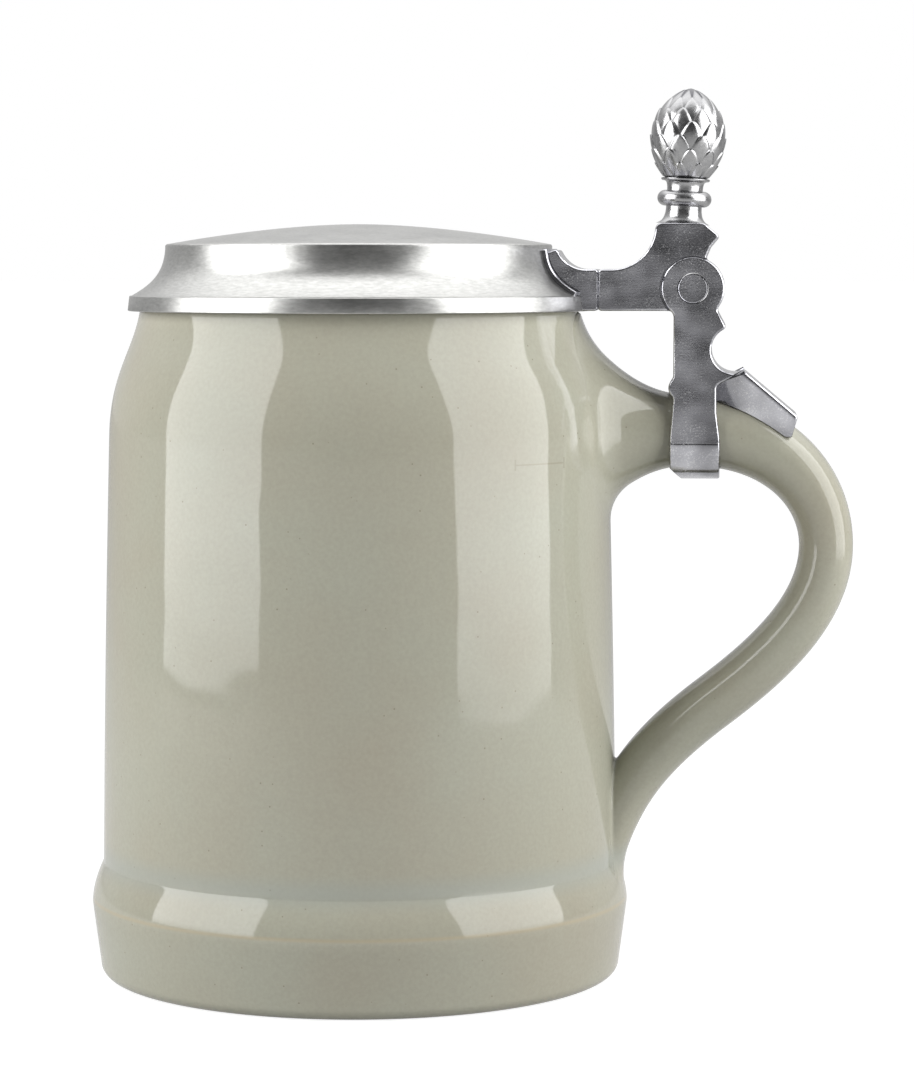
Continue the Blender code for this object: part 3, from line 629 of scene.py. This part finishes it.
def spaced(points, count):
    """As many points as asked, spread evenly along a line of points."""
    runs = runs_along(points)
    places = [runs[-1] * i / (count - 1) for i in range(count)]
    return list(zip(*[interp(places, runs, [p[j] for p in points]) for j in range(3)]))


def make_handle(glaze):
    """Loop handle whose two ends run out on the mug's wall."""
    rings = handle_rings()
    middle = len(rings) // 2
    courses = []
    for k in range(HANDLE_SIDES):
        points = [ring[k] for _, ring in rings]
        outward = max(0.0, cos(2 * pi * k / HANDLE_SIDES))
        pad = UPPER_PAD * outward ** PAD_NARROWING
        root_fillet = LOWER_FILLET + (ROOT_FILLET - LOWER_FILLET) * outward ** 2
        upper = land(points[middle::-1], points[0] - rings[0][0], UPPER_FILLET, pad)
        lower = land(points[middle:], points[-1] - rings[-1][0], root_fillet, 0.0)
        courses.append(spaced(upper[:0:-1] + lower, HANDLE_RINGS))
    bm = bmesh.new()
    bmesh.ops.create_grid(bm, x_segments=HANDLE_SIDES, y_segments=HANDLE_RINGS - 1, size=1.0)
    for v in bm.verts:
        side = round((v.co.x + 1) / 2 * HANDLE_SIDES) % HANDLE_SIDES
        v.co = courses[side][round((v.co.y + 1) / 2 * (HANDLE_RINGS - 1))]
    bmesh.ops.remove_doubles(bm, verts=bm.verts, dist=MERGE)
    bmesh.ops.holes_fill(bm, edges=[e for e in bm.edges if e.is_boundary])
    dress(to_object("glazed_handle", bm), glaze, "mug", ["handle"], sharp=80.0)


def cove(foot, top, foot_pull, top_pull, steps):
    """Hollow curve that rises inwards from its foot to its top."""
    run = foot[0] - top[0]
    rise = top[1] - foot[1]
    return bezier(foot, (foot[0] - foot_pull[0] * run, foot[1] + foot_pull[1] * rise),
                  (top[0] + top_pull[0] * run, top[1] - top_pull[1] * rise), top, steps)


def lid_cove():
    """Hollow side of the lid, from above its band up to the top edge."""
    foot = (LID_RADIUS - BAND_DRAFT - 2 * BAND_EDGE, LID_BOTTOM + BAND_HEIGHT + BAND_EDGE)
    return cove(foot, (TOP_RADIUS, COVE_TOP), COVE_FOOT_PULL, COVE_TOP_PULL, steps=32)


def lid_filled():
    """Filled shape of the lid, a little inside its face and carried on down past the mug's lip."""
    side = offset(lid_cove(), -SOLDER_DEPTH)
    edge = LID_RADIUS - SOLDER_DEPTH
    below = LID_BOTTOM - 2 * BAND_HEIGHT
    above = COVE_TOP + 2 * TOP_EDGE
    profile = [(0.0, below), (edge, below), (edge, LID_BOTTOM), (edge - BAND_DRAFT, side[0][1])]
    profile += side + [(side[-1][0], above), (0.0, above)]
    return to_object("lid_filled", turned(profile))


def dome(edge, rise, steps):
    """Low dome from its edge to the axis, with straighter slopes than a sphere has."""
    least = DOME_ROUND ** DOME_POWER
    most = (1 + DOME_ROUND ** 2) ** (DOME_POWER / 2)
    points = []
    for i in range(steps + 1):
        out = 1 - i / steps
        fall = ((out ** 2 + DOME_ROUND ** 2) ** (DOME_POWER / 2) - least) / (most - least)
        points.append((edge[0] * out, edge[1] + rise * (1 - fall)))
    return points


def make_lid(spun):
    """Hollow lid with a band, a cove and a low dome, and a seat inside for the mug's lip."""
    skirt_inside = LID_RADIUS - SKIRT_WALL
    seat = (skirt_inside - SEAT_WIDTH, SEAT_HEIGHT)
    ceiling = (TOP_RADIUS - LID_WALL, COVE_TOP + TOP_EDGE - LID_WALL)
    inside = line((skirt_inside, LID_BOTTOM), (skirt_inside, SEAT_HEIGHT), steps=2)
    inside += cove(seat, ceiling, HOLLOW_FOOT_PULL, HOLLOW_TOP_PULL, steps=14)
    inside += dome(ceiling, DOME_RISE, steps=16)[1:]
    outside = arc((LID_RADIUS - BAND_EDGE, LID_BOTTOM + BAND_EDGE), BAND_EDGE, -90, 0, steps=4)
    band_top = (LID_RADIUS - BAND_DRAFT - BAND_EDGE, LID_BOTTOM + BAND_HEIGHT)
    outside += arc(band_top, BAND_EDGE, *BAND_TURN, steps=4)
    outside += lid_cove()
    outside += arc((TOP_RADIUS - TOP_EDGE, COVE_TOP + TOP_EDGE), TOP_EDGE, 0, TOP_TURN, steps=6)[1:]
    profile = inside[::-1] + outside + dome(outside[-1], DOME_RISE, steps=24)[1:]
    dress(to_object("spun_lid", turned(profile)), spun, "lid", ["lid"])


def make_tang(cast):
    """Bracket that ends in a thin leaf, wider than its sides, which lies on the lid's cove."""
    joint = PIN_X + JOINT_X
    low = PIN_Z - ARM_BELOW
    top = PIN_Z + ARM_ABOVE
    inner = TOP_RADIUS - TANG_REACH
    outline = [(inner, low), (joint, low), (joint, top)]
    outline += arc((joint - TANG_FLAT, top + TANG_CURVE), TANG_CURVE, -90, -90 - TANG_SWEEP, steps=12)
    outline.append((inner, outline[-1][1] - LEAF_WALL))
    tang = to_object("lid_tang_leaf", plate(outline, HALF_WIDTH))
    side = lid_cove()
    leaf = offset(side, -LID_WALL / 2) + offset(side, LEAF_WALL)[::-1]
    bm = turned(leaf + leaf[:1], steps=24, angle=radians(2 * LEAF_ANGLE))
    bmesh.ops.rotate(bm, verts=bm.verts, cent=(0, 0, 0), matrix=Matrix.Rotation(-radians(LEAF_ANGLE), 3, "Z"))
    ends = bmesh.ops.holes_fill(bm, edges=[e for e in bm.edges if e.is_boundary])["faces"]
    bmesh.ops.recalc_face_normals(bm, faces=bm.faces)
    round_off(bm, list({e for end in ends for e in end.edges}), LEAF_EDGE)
    combine(tang, to_object("leaf", bm), "UNION")
    combine(tang, lid_filled(), "DIFFERENCE")
    dress(tang, cast, "lid", ["lid_tang"], CAST_SHARP)
    keep_flats(tang)


def make_shank(cast):
    """Arm from the tang to the hinge, with the block that carries the thumblift."""
    under = 180 + degrees(asin(ARM_BELOW / RING_RADIUS))
    hook = point_at(HOOK_ANGLE - HOOK_LEAN, HOOK_TIP)
    corner = (-BLOCK_BACK + BLOCK_CORNER, BLOCK_HEIGHT - BLOCK_CORNER)
    hollow = (-BLOCK_BACK - BLOCK_CURVE, ARM_ABOVE + BLOCK_CURVE)
    outline = [(JOINT_X, -ARM_BELOW)]
    outline += arc((0.0, 0.0), RING_RADIUS, under, 360 + HOOK_ANGLE, steps=40)
    outline += [point_at(HOOK_ANGLE, HOOK_ROOT), hook, (BLOCK_FRONT, BLOCK_HEIGHT)]
    outline += arc(corner, BLOCK_CORNER, 90, 170, steps=6)
    outline += arc(hollow, BLOCK_CURVE, BLOCK_CURVE_START, -90, steps=20)
    outline.append((JOINT_X, ARM_ABOVE))
    shank = to_object("shank_block", plate(outline, HALF_WIDTH), PIN_AT)
    for start, end in STRAP_RINGS:
        drill(shank, RING_RADIUS + RUNNING, start - RUNNING, end + RUNNING)
    drill(shank, PIN_RADIUS + RUNNING, -2 * HALF_WIDTH, 2 * HALF_WIDTH)
    dress(shank, cast, "lid", ["shank"], CAST_SHARP)
    keep_flats(shank)


def strap_tail(corner):
    """Wedge that lies along the handle behind the post. Its sides lean in towards the handle."""
    start = point_at(-TAIL_SLOPE - 90, TAIL_SUNK, corner)
    end = point_at(-TAIL_SLOPE, TAIL_LENGTH, start)
    inside = POST_FRONT / 2
    half_width = HALF_WIDTH - TAIL_STEP
    outline = [start, end, point_at(-TAIL_SLOPE - TAIL_END_LEAN, TAIL_END, end),
               (inside, HANDLE_TOP - PIN_Z), (inside, corner[1] - 3 * TAIL_STEP)]
    bm = plate(outline, half_width, edge=0.0)
    down = Vector((-sin(radians(TAIL_SLOPE)), 0.0, -cos(radians(TAIL_SLOPE))))
    for side in (-1, 1):
        normal = Vector((0.0, side, 0.0)) * cos(radians(TAIL_FLANK)) + down * sin(radians(TAIL_FLANK))
        edge = Vector((start[0], side * half_width, start[1])) + down * TAIL_LIP
        bmesh.ops.edgeloop_fill(bm, edges=slice_off(bm, edge, normal))
    bmesh.ops.recalc_face_normals(bm, faces=bm.faces)
    round_off(bm, sharp_edges(bm), TAIL_EDGE)
    return to_object("tail", bm, PIN_AT)


def make_strap(cast):
    """Post of the hinge: its rings, the spur that stops the lid, the notch, the tail and two legs."""
    back = 180 + degrees(acos(POST_BACK / RING_RADIUS))
    spur = point_at(SPUR_ANGLE - SPUR_LEAN, SPUR_TIP)
    notch = point_at(NOTCH_START + 180, NOTCH_RADIUS, spur)
    lip = (-POST_BACK + SADDLE_LIP_INSET, SADDLE_LIP_Z)
    leg_end = HANDLE_TOP - PIN_Z - LEG_DROP
    leg_foot = leg_end + LEG_FOOT
    outline = [(-POST_BACK - CLASP_LAP, leg_end), (-POST_BACK - CLASP_LAP, leg_foot)]
    outline += arc(lip, SADDLE_LIP_INSET + SADDLE_LIP, *SADDLE_LIP_TURN, steps=10)
    outline += arc((0.0, 0.0), RING_RADIUS, back, SPUR_ANGLE, steps=56)
    outline += arc(notch, NOTCH_RADIUS, NOTCH_START, NOTCH_END, steps=30)
    corner = outline[-1]
    outline += [(POST_FRONT, corner[1] - (corner[0] - POST_FRONT) / 2), (POST_FRONT, leg_end + LEG_FLARE),
                (POST_FRONT + CLASP_LAP, leg_foot), (POST_FRONT + CLASP_LAP, leg_end)]
    strap = to_object("hinge_strap_post", plate(outline, HALF_WIDTH), PIN_AT)
    combine(strap, strap_tail(corner), "UNION")
    combine(strap, handle_core(SEAM), "DIFFERENCE")
    for left, right in zip(STRAP_RINGS, STRAP_RINGS[1:]):
        drill(strap, RING_RADIUS + RUNNING, left[1], right[0])
    drill(strap, PIN_RADIUS + RUNNING / 2, -2 * HALF_WIDTH, 2 * HALF_WIDTH)
    dress(strap, cast, "mug", ["hinge_strap"], CAST_SHARP)
    keep_flats(strap)


def section(wide, deep, power):
    """Lower half of a rounded section with half its width and its depth, from -X round to +X."""
    turns = [pi + pi * i / DRUM_STEPS for i in range(DRUM_STEPS + 1)]
    return [(wide * bulged(cos(turn), power), deep * bulged(sin(turn), power)) for turn in turns]


def make_clasp(cast):
    """Band that closes the strap's legs round the underside of the handle."""
    back = PIN_X - POST_BACK - CLASP_LAP
    front = PIN_X + POST_FRONT + CLASP_LAP
    inside = STRAP_THICKNESS / 2 + SEAM
    top = CLASP_OVERLAP - LEG_DROP
    inner = section(HANDLE_WIDTH / 2 + SEAM, inside, SECTION_POWER)
    outer = section(HALF_WIDTH + CLASP_PROUD, inside + CLASP_WALL, CLASP_POWER)
    inner = [p for p in inner if p[1] < top]
    outer = [p for p in outer if p[1] < top]
    inside_leg = (HALF_WIDTH - CLASP_WALL / 2, top + CLASP_OVERLAP)
    outline = [(-inside_leg[0], inside_leg[1])] + outer + [inside_leg] + inner[::-1]
    bm = plate(outline, (front - back) / 2, CLASP_EDGE)
    bmesh.ops.rotate(bm, verts=bm.verts, cent=(0, 0, 0), matrix=Matrix.Rotation(pi / 2, 3, "Z"))
    bmesh.ops.translate(bm, verts=bm.verts, vec=((back + front) / 2, 0.0, HANDLE_TOP))
    bottom = HANDLE_TOP - inside - CLASP_WALL
    rim = slice_off(bm, (back, 0.0, bottom + CLASP_CORNER), (-1.0, 0.0, -1.0))
    bmesh.ops.holes_fill(bm, edges=rim)
    dress(to_object("strap_band", bm), cast, "mug", ["strap_clasp"], CAST_SHARP)


def make_pin(cast):
    """Pin through the hinge's rings, with its ends just below their faces."""
    bm = drum(PIN_RADIUS, -HALF_WIDTH + PIN_SUNK, HALF_WIDTH - PIN_SUNK)
    round_off(bm, sharp_edges(bm), PIN_EDGE)
    pin = dress(to_object("hinge_rivet", bm, PIN_AT), cast, "mug", ["hinge_pin"], CAST_SHARP)
    keep_flats(pin)


def cone_radius(share):
    """Radius of the egg-shaped cone at a share of its height."""
    if share < CONE_BELLY:
        return CONE_FOOT + (CONE_RADIUS - CONE_FOOT) * (1 - (1 - share / CONE_BELLY) ** 2)
    return CONE_RADIUS * max(0.0, 1 - ((share - CONE_BELLY) / (1 - CONE_BELLY)) ** 2) ** CONE_POINT


def scale_relief(run, turn, radius):
    """Height of the scales over the cone, at a run up its side and a turn round it."""
    best = 0.0
    pitch = 2 * pi / SCALES_ROUND
    for row in range(SCALE_ROWS):
        below = SCALE_FIRST + SCALE_PITCH * row - run
        if not 0.0 <= below <= SCALE_LENGTH:
            continue
        shift = (turn / pitch + row / 2) % 1.0 - 0.5
        half = 0.5 * min(1.0, (below / SCALE_PITCH) ** SCALE_POINT)
        if abs(shift) > half:
            continue
        across = shift / max(half, 1e-6)
        high = SCALE_STEP * (1 - below / SCALE_LENGTH) + SCALE_CROWN * (1 - across ** SCALE_FLATNESS)
        best = max(best, high)
    return best * min(1.0, radius / CONE_RADIUS + SCALE_LEAST)


def make_thumblift(polished):
    """Turned stem with a bead, under a cone of overlapping scales that point up."""
    bead_round = BEAD_HEIGHT / 2
    bead_centre = STEM_FOOT_HEIGHT + bead_round
    collar = STEM_FOOT_HEIGHT + BEAD_HEIGHT + UPPER_NECK_HEIGHT
    collar_foot = collar - COLLAR_HEIGHT
    profile = [(0.0, 0.0)]
    profile += bezier((STEM_FOOT_RADIUS, 0.0), (STEM_NECK_RADIUS, STEM_FLARE),
                      (STEM_NECK_RADIUS, bead_centre / 2), (STEM_NECK_RADIUS, STEM_FOOT_HEIGHT), steps=14)
    profile += arc((BEAD_RADIUS - bead_round, bead_centre), bead_round, -BEAD_TURN, BEAD_TURN, steps=14)
    profile += bezier((STEM_NECK_RADIUS, STEM_FOOT_HEIGHT + BEAD_HEIGHT),
                      (STEM_NECK_RADIUS, collar - STEM_FLARE),
                      (STEM_NECK_RADIUS + STEM_FLARE, collar_foot - COLLAR_EDGE / 2),
                      (COLLAR_RADIUS - COLLAR_EDGE, collar_foot), steps=12)
    profile += [(COLLAR_RADIUS, collar_foot + COLLAR_EDGE), (COLLAR_RADIUS, collar - COLLAR_EDGE / 2),
                (COLLAR_RADIUS - COLLAR_EDGE, collar)]
    shares = [sin(pi / 2 * i / CONE_ROWS) ** CONE_SPACING for i in range(CONE_ROWS + 1)]
    side = [(cone_radius(s), collar + CONE_HEIGHT * s) for s in shares]
    bm = turned(profile + side, CONE_STEPS)
    runs = [0.0]
    for a, b in zip(side, side[1:]):
        runs.append(runs[-1] + hypot(b[0] - a[0], b[1] - a[1]))
    heights = [z for _, z in side]
    # How deep each point lies below the scales' crowns, which the polished pewter uses to paint shade into
    # the grooves
    groove = bm.verts.layers.float.new("groove")
    for v in bm.verts:
        if v.co.z > collar + 0.01:
            radius = hypot(v.co.x, v.co.y)
            run = float(interp(v.co.z, heights, runs))
            relief = scale_relief(run, atan2(v.co.y, v.co.x) + radians(SCALE_TURN), radius)
            v[groove] = 1 - relief / (SCALE_STEP + SCALE_CROWN)
            v.co += Vector((v.co.x, v.co.y, 0.0)).normalized() * relief
    stand = Matrix.Translation((PIN_X + STEM_SHIFT, 0.0, PIN_Z + BLOCK_HEIGHT - STEM_SUNK))
    bmesh.ops.transform(bm, verts=bm.verts, matrix=stand @ Matrix.Rotation(radians(STEM_LEAN), 4, "Y"))
    dress(to_object("cone_thumblift", bm), polished, "lid", ["thumblift"], sharp=60.0)


def feed(tree, node, inputs):
    """Set a node's inputs, each given by its name or number, as a value or as another node's output."""
    for key, value in inputs.items():
        if isinstance(value, bpy.types.NodeSocket):
            tree.links.new(value, node.inputs[key])
        else:
            node.inputs[key].default_value = value


def add(tree, kind, inputs=None, **settings):
    """Add a shader node with its settings and inputs."""
    made = tree.nodes.new("ShaderNode" + kind)
    for name, value in settings.items():
        setattr(made, name, value)
    feed(tree, made, inputs or {})
    return made


def new_material(name):
    """Material with a Principled shader, its node tree and its Object coordinates."""
    made = bpy.data.materials.new(name)
    made.use_nodes = True
    tree = made.node_tree
    place = add(tree, "TexCoord").outputs["Object"]
    return made, tree, tree.nodes["Principled BSDF"], place


def maths(tree, operation, *values):
    """Result of a maths node on some values."""
    return add(tree, "Math", dict(enumerate(values)), operation=operation).outputs[0]


def ranged(tree, value, start, end, first=0.0, last=1.0, smooth=False):
    """Value that goes from first to last while another goes from start to end."""
    return add(tree, "MapRange", {0: value, 1: start, 2: end, 3: first, 4: last},
               interpolation_type="SMOOTHSTEP" if smooth else "LINEAR").outputs[0]


def noise(tree, place, size, detail, roughness=0.5):
    """Soft random pattern, with blotches of a size in mm."""
    return add(tree, "TexNoise", {"Vector": place, "Scale": 1 / (size * MM), "Detail": detail,
                                            "Roughness": roughness}).outputs[0]


def blend(tree, share, first, second, way="MIX"):
    """Mix of two colours, each given as a hex code or as another node's output."""
    pair = [linear(colour) if isinstance(colour, str) else colour for colour in (first, second)]
    return add(tree, "Mix", {0: share, 6: pair[0], 7: pair[1]}, data_type="RGBA",
               blend_type=way).outputs[2]


def bumped(tree, height, depth, strength=1.0, under=None):
    """Normals of a relief with a depth in mm, laid over those of another one."""
    inputs = {"Height": height, "Strength": strength, "Distance": depth * MM}
    if under is not None:
        inputs["Normal"] = under
    return add(tree, "Bump", inputs).outputs[0]


def axes(tree, place):
    """X, Y and Z of a place or a direction."""
    return add(tree, "SeparateXYZ", {0: place}).outputs


def fill_mark(tree, place):
    """Share of the fill line's colour: a hairline level in the wall, with a short tick at each end."""
    x, y, z = axes(tree, place)
    masks = []
    for start, end, tall in ((MARK_START, MARK_END, MARK_LINE),
                             (MARK_START, MARK_START + 2 * MARK_LINE, MARK_TICK),
                             (MARK_END - 2 * MARK_LINE, MARK_END, MARK_TICK)):
        along = maths(tree, "COMPARE", x, (start + end) / 2 * MM, (end - start) / 2 * MM)
        level = maths(tree, "COMPARE", z, MARK_HEIGHT * MM, tall * MM)
        masks.append(maths(tree, "MULTIPLY", along, level))
    shown = maths(tree, "MAXIMUM", maths(tree, "MAXIMUM", masks[0], masks[1]), masks[2])
    front = maths(tree, "LESS_THAN", y, 0.0)
    return maths(tree, "MULTIPLY", maths(tree, "MULTIPLY", shown, front), MARK_SHARE)


def salt_grey_glaze():
    """Clear glossy glaze over grey stoneware: mirror-bright, slightly wavy, with fine iron specks."""
    made, tree, shader, place = new_material("salt grey stoneware glaze")
    tint = blend(tree, noise(tree, place, size=30, detail=3.0), "#A7AA9C", "#A29B8A")
    grit = noise(tree, place, size=0.7, detail=2.0)
    body = blend(tree, 1.0, tint, ranged(tree, grit, 0.3, 0.7, 0.96, 1.03), "MULTIPLY")
    cells = add(tree, "TexVoronoi", {"Vector": place, "Scale": 1 / (2.2 * MM)}).outputs
    near = ranged(tree, cells["Distance"], 0.04, 0.09, 1.0, 0.0)
    chosen = ranged(tree, cells["Color"], 0.56, 0.60)
    speck = maths(tree, "MULTIPLY", maths(tree, "MULTIPLY", near, chosen), 0.55)
    colour = blend(tree, speck, body, "#6A6250")
    height = axes(tree, place)[2]
    for level, reach, share, code in ((THIN_GLAZE, THIN_REACH, 0.6, "#AFA389"),
                                      (POOLED_GLAZE, POOLED_REACH, 0.5, "#9BA19B")):
        away = maths(tree, "ABSOLUTE", maths(tree, "SUBTRACT", height, level * MM))
        amount = ranged(tree, away, 0.0, reach * MM, share, 0.0, smooth=True)
        colour = blend(tree, amount, colour, code)
    wave = bumped(tree, noise(tree, place, size=16, detail=1.0), depth=0.16)
    skin = bumped(tree, noise(tree, place, size=1.2, detail=1.0), depth=0.002, under=wave)
    feed(tree, shader, {"Base Color": blend(tree, fill_mark(tree, place), colour, "#8F8C7C"),
                        "Normal": skin, "Roughness": 0.06, "IOR": 1.45})
    return made


def bare_stoneware():
    """Unglazed fired clay under the base: matt, a little darker and sandy."""
    made, tree, shader, place = new_material("bare fired stoneware")
    sand = noise(tree, place, size=0.8, detail=4.0)
    feed(tree, shader, {"Base Color": blend(tree, sand, "#A79E8B", "#C2BAA8"),
                        "Normal": bumped(tree, sand, depth=0.05, strength=0.6), "Roughness": 0.85})
    return made


def spun_pewter():
    """Satin pewter, spun on a lathe: soft wide highlights, broken up by fine strokes round the axis."""
    made, tree, shader, place = new_material("satin spun pewter")
    x, y, z = axes(tree, place)
    flat = add(tree, "CombineXYZ", {0: x, 1: y}).outputs[0]
    radius = add(tree, "VectorMath", {0: flat}, operation="LENGTH").outputs["Value"]
    run = maths(tree, "MULTIPLY", maths(tree, "ARCTAN2", y, x), 0.3 * LID_RADIUS * MM)
    around = add(tree, "CombineXYZ", {0: run, 1: radius, 2: z}).outputs[0]
    strokes = noise(tree, around, size=0.45, detail=3.0, roughness=0.65)
    patch = noise(tree, place, size=6, detail=3.0)
    shade = blend(tree, ranged(tree, strokes, 0.25, 0.75), "#9E9E9C", "#BCBCBA")
    feed(tree, shader, {"Base Color": shade, "Normal": bumped(tree, strokes, depth=0.019),
                        "Roughness": ranged(tree, patch, 0.3, 0.7, 0.28, 0.35), "Metallic": 1.0})
    return made


def cast_pewter():
    """Cast pewter, filed and rubbed: a dull dark mirror with bright grains and short file marks."""
    made, tree, shader, place = new_material("filed cast pewter")
    grain = noise(tree, place, size=0.32, detail=2.0, roughness=0.6)
    long_way = add(tree, "Mapping", {"Vector": place, "Scale": (0.12, 1.0, 1.0)}).outputs[0]
    strokes = noise(tree, long_way, size=0.35, detail=1.0)
    relief = maths(tree, "MULTIPLY_ADD", strokes, 0.5, grain)
    swell = bumped(tree, noise(tree, place, size=7, detail=1.0), depth=0.24)
    field = ranged(tree, noise(tree, place, size=3.5, detail=3.0), 0.36, 0.66, 0.15, 1.0)
    dots = maths(tree, "MULTIPLY", ranged(tree, grain, 0.52, 0.68), field)
    shade = blend(tree, dots, "#B2B2B7", "#DEDEE0")
    stain = noise(tree, place, size=9, detail=2.0)
    tarnish = blend(tree, 1.0, shade, ranged(tree, stain, 0.38, 0.62, 0.72, 1.25), "MULTIPLY")
    feed(tree, shader, {"Base Color": tarnish, "Normal": bumped(tree, relief, depth=0.007, under=swell),
                        "Roughness": ranged(tree, dots, 0.0, 1.0, 0.17, 0.36), "Metallic": 1.0})
    return made


def polished_pewter():
    """Polished pewter: bright, with the slight softness of a cast surface under the polish, and painted shade
    in the grooves between the cone's scales.
    """
    made, tree, shader, place = new_material("polished cast pewter")
    soft = noise(tree, place, size=0.8, detail=3.0)
    shade = blend(tree, soft, "#929294", "#B0B0B0")
    groove = add(tree, "Attribute", attribute_name="groove").outputs["Fac"]
    # Painted shade: the colour darkens towards the bottoms of the grooves between the scales, where shade
    # falls
    painted_groove_shade = ranged(tree, groove, 0.45, 0.85, 0.0, 0.9, smooth=True)
    feed(tree, shader, {"Base Color": blend(tree, painted_groove_shade, shade, "#505054"),
                        "Normal": bumped(tree, soft, depth=0.03),
                        "Roughness": ranged(tree, soft, 0.3, 0.7, 0.18, 0.30), "Metallic": 1.0})
    return made


def seen_directly(tree):
    """1 for camera rays, and 1 for all that show the background: glossy and transmission rays too."""
    path = add(tree, "LightPath").outputs
    camera = path["Is Camera Ray"]
    mirrored = maths(tree, "MAXIMUM", camera, path["Is Glossy Ray"])
    return camera, maths(tree, "MAXIMUM", mirrored, path["Is Transmission Ray"])


def make_room():
    """White room that is dark only on the camera's side, as metal in a studio shows it."""
    world = bpy.data.worlds.new("white studio")
    world.use_nodes = True
    tree = world.node_tree
    tree.nodes.clear()
    camera, seen = seen_directly(tree)
    towards = add(tree, "TexCoord").outputs["Generated"]
    sideways, _, height = axes(tree, towards)
    behind = add(tree, "VectorMath", {0: towards, 1: WALL_TOWARDS}, operation="DOT_PRODUCT")
    wall = ranged(tree, behind.outputs["Value"], 0.05, 0.6, WALL_DARK, 1.0, smooth=True)
    aside = maths(tree, "MULTIPLY_ADD", height, SIDES_LEAN, maths(tree, "ABSOLUTE", sideways))
    sides = ranged(tree, aside, 0.3, 0.9, 1.0, SIDES, smooth=True)
    upper = ranged(tree, height, 0.25, 0.95, LEVEL, CEILING, smooth=True)
    room = maths(tree, "MULTIPLY", maths(tree, "MULTIPLY", wall, sides), upper)
    shown = maths(tree, "MAXIMUM", room, camera)
    strength = add(tree, "Mix", {0: seen, 2: AMBIENT, 3: shown}, data_type="FLOAT").outputs[0]
    back = add(tree, "Background", {"Color": linear("#FFFFFF"), "Strength": strength})
    add(tree, "OutputWorld", {"Surface": back.outputs[0]})
    bpy.context.scene.world = world


def make_floor():
    """White table that is brighter further out, so that it runs into the background."""
    made, tree, shader, place = new_material("white table")
    far = add(tree, "VectorMath", {0: place}, operation="LENGTH").outputs["Value"]
    glow = ranged(tree, far, FLOOR_NEAR * MM, FLOOR_FAR * MM, FLOOR_GLOW, 1.0)
    camera, seen = seen_directly(tree)
    shown = add(tree, "Mix", {0: camera, 2: FLOOR_MIRRORED, 3: glow}, data_type="FLOAT").outputs[0]
    feed(tree, shader, {"Emission Strength": maths(tree, "MULTIPLY", shown, seen),
                        "Emission Color": linear("#FFFFFF"), "Base Color": linear("#AEAEAD"),
                        "Roughness": 0.9, "Specular IOR Level": 0.0})
    bm = bmesh.new()
    bmesh.ops.create_grid(bm, x_segments=1, y_segments=1, size=FLOOR_HALF)
    floor = to_object("studio_floor", bm, (0.0, 0.0, -FLOOR_DROP))
    floor.data.materials.append(made)


def soft_panel(name, turn, near, low, lean, width, tall, radiance):
    """Soft lamp beside the mug, at a turn from the camera's side, that leans in over it.

    Its lower edge lies near from the mug's axis and low above the floor. It dims towards both ends.
    """
    about = Matrix.Rotation(radians(turn), 3, "Z")
    out = about @ Vector((0.0, -cos(radians(lean)), sin(radians(lean))))
    up = about @ Vector((0.0, sin(radians(lean)), cos(radians(lean))))
    foot = about @ Vector((0.0, -near, low))
    lamp = bpy.data.lights.new(name, "AREA")
    lamp.shape = "RECTANGLE"
    lamp.size = width * MM
    lamp.size_y = tall * MM
    lamp.energy = radiance * pi * lamp.size * lamp.size_y
    lamp.use_nodes = True
    tree = lamp.node_tree
    along = axes(tree, add(tree, "NewGeometry").outputs["Parametric"])[1]
    end = maths(tree, "ABSOLUTE", maths(tree, "SUBTRACT", along, 0.5))
    feed(tree, tree.nodes["Emission"], {"Strength": ranged(tree, end, 0.40, 0.5, 1.0, 0.6, smooth=True)})
    holder = bpy.data.objects.new(name, lamp)
    holder.location = (foot + up * tall / 2) * MM
    holder.rotation_euler = out.to_track_quat("Z", "Y").to_euler()
    bpy.context.collection.objects.link(holder)


def make_camera():
    """Camera where the photograph's was."""
    lens = bpy.data.cameras.new("photo camera")
    lens.lens = LENS
    lens.sensor_width = SENSOR
    lens.clip_start = SIGHT[0] * MM
    lens.clip_end = SIGHT[1] * MM
    camera = bpy.data.objects.new("photo camera", lens)
    camera.location = [c * MM for c in CAMERA_AT]
    camera.rotation_euler = (radians(90 - CAMERA_TILT), 0.0, radians(CAMERA_TURN))
    bpy.context.collection.objects.link(camera)
    bpy.context.scene.camera = camera


def main():
    """Make the pieces, then the studio round them."""
    glaze = salt_grey_glaze()
    cast = cast_pewter()
    make_mug(glaze, bare_stoneware())
    make_handle(glaze)
    make_lid(spun_pewter())
    make_tang(cast)
    make_shank(cast)
    make_strap(cast)
    make_clasp(cast)
    make_pin(cast)
    make_thumblift(polished_pewter())
    make_room()
    make_floor()
    soft_panel("left softbox", turn=-63.2, near=580.0, low=8.0, lean=5.0, width=553.0, tall=660.0,
               radiance=4.8)
    soft_panel("right softbox", turn=73.0, near=580.0, low=1.0, lean=11.0, width=531.0, tall=680.0,
               radiance=4.6)
    make_camera()
    bpy.context.scene.view_settings.view_transform = "Standard"


main()
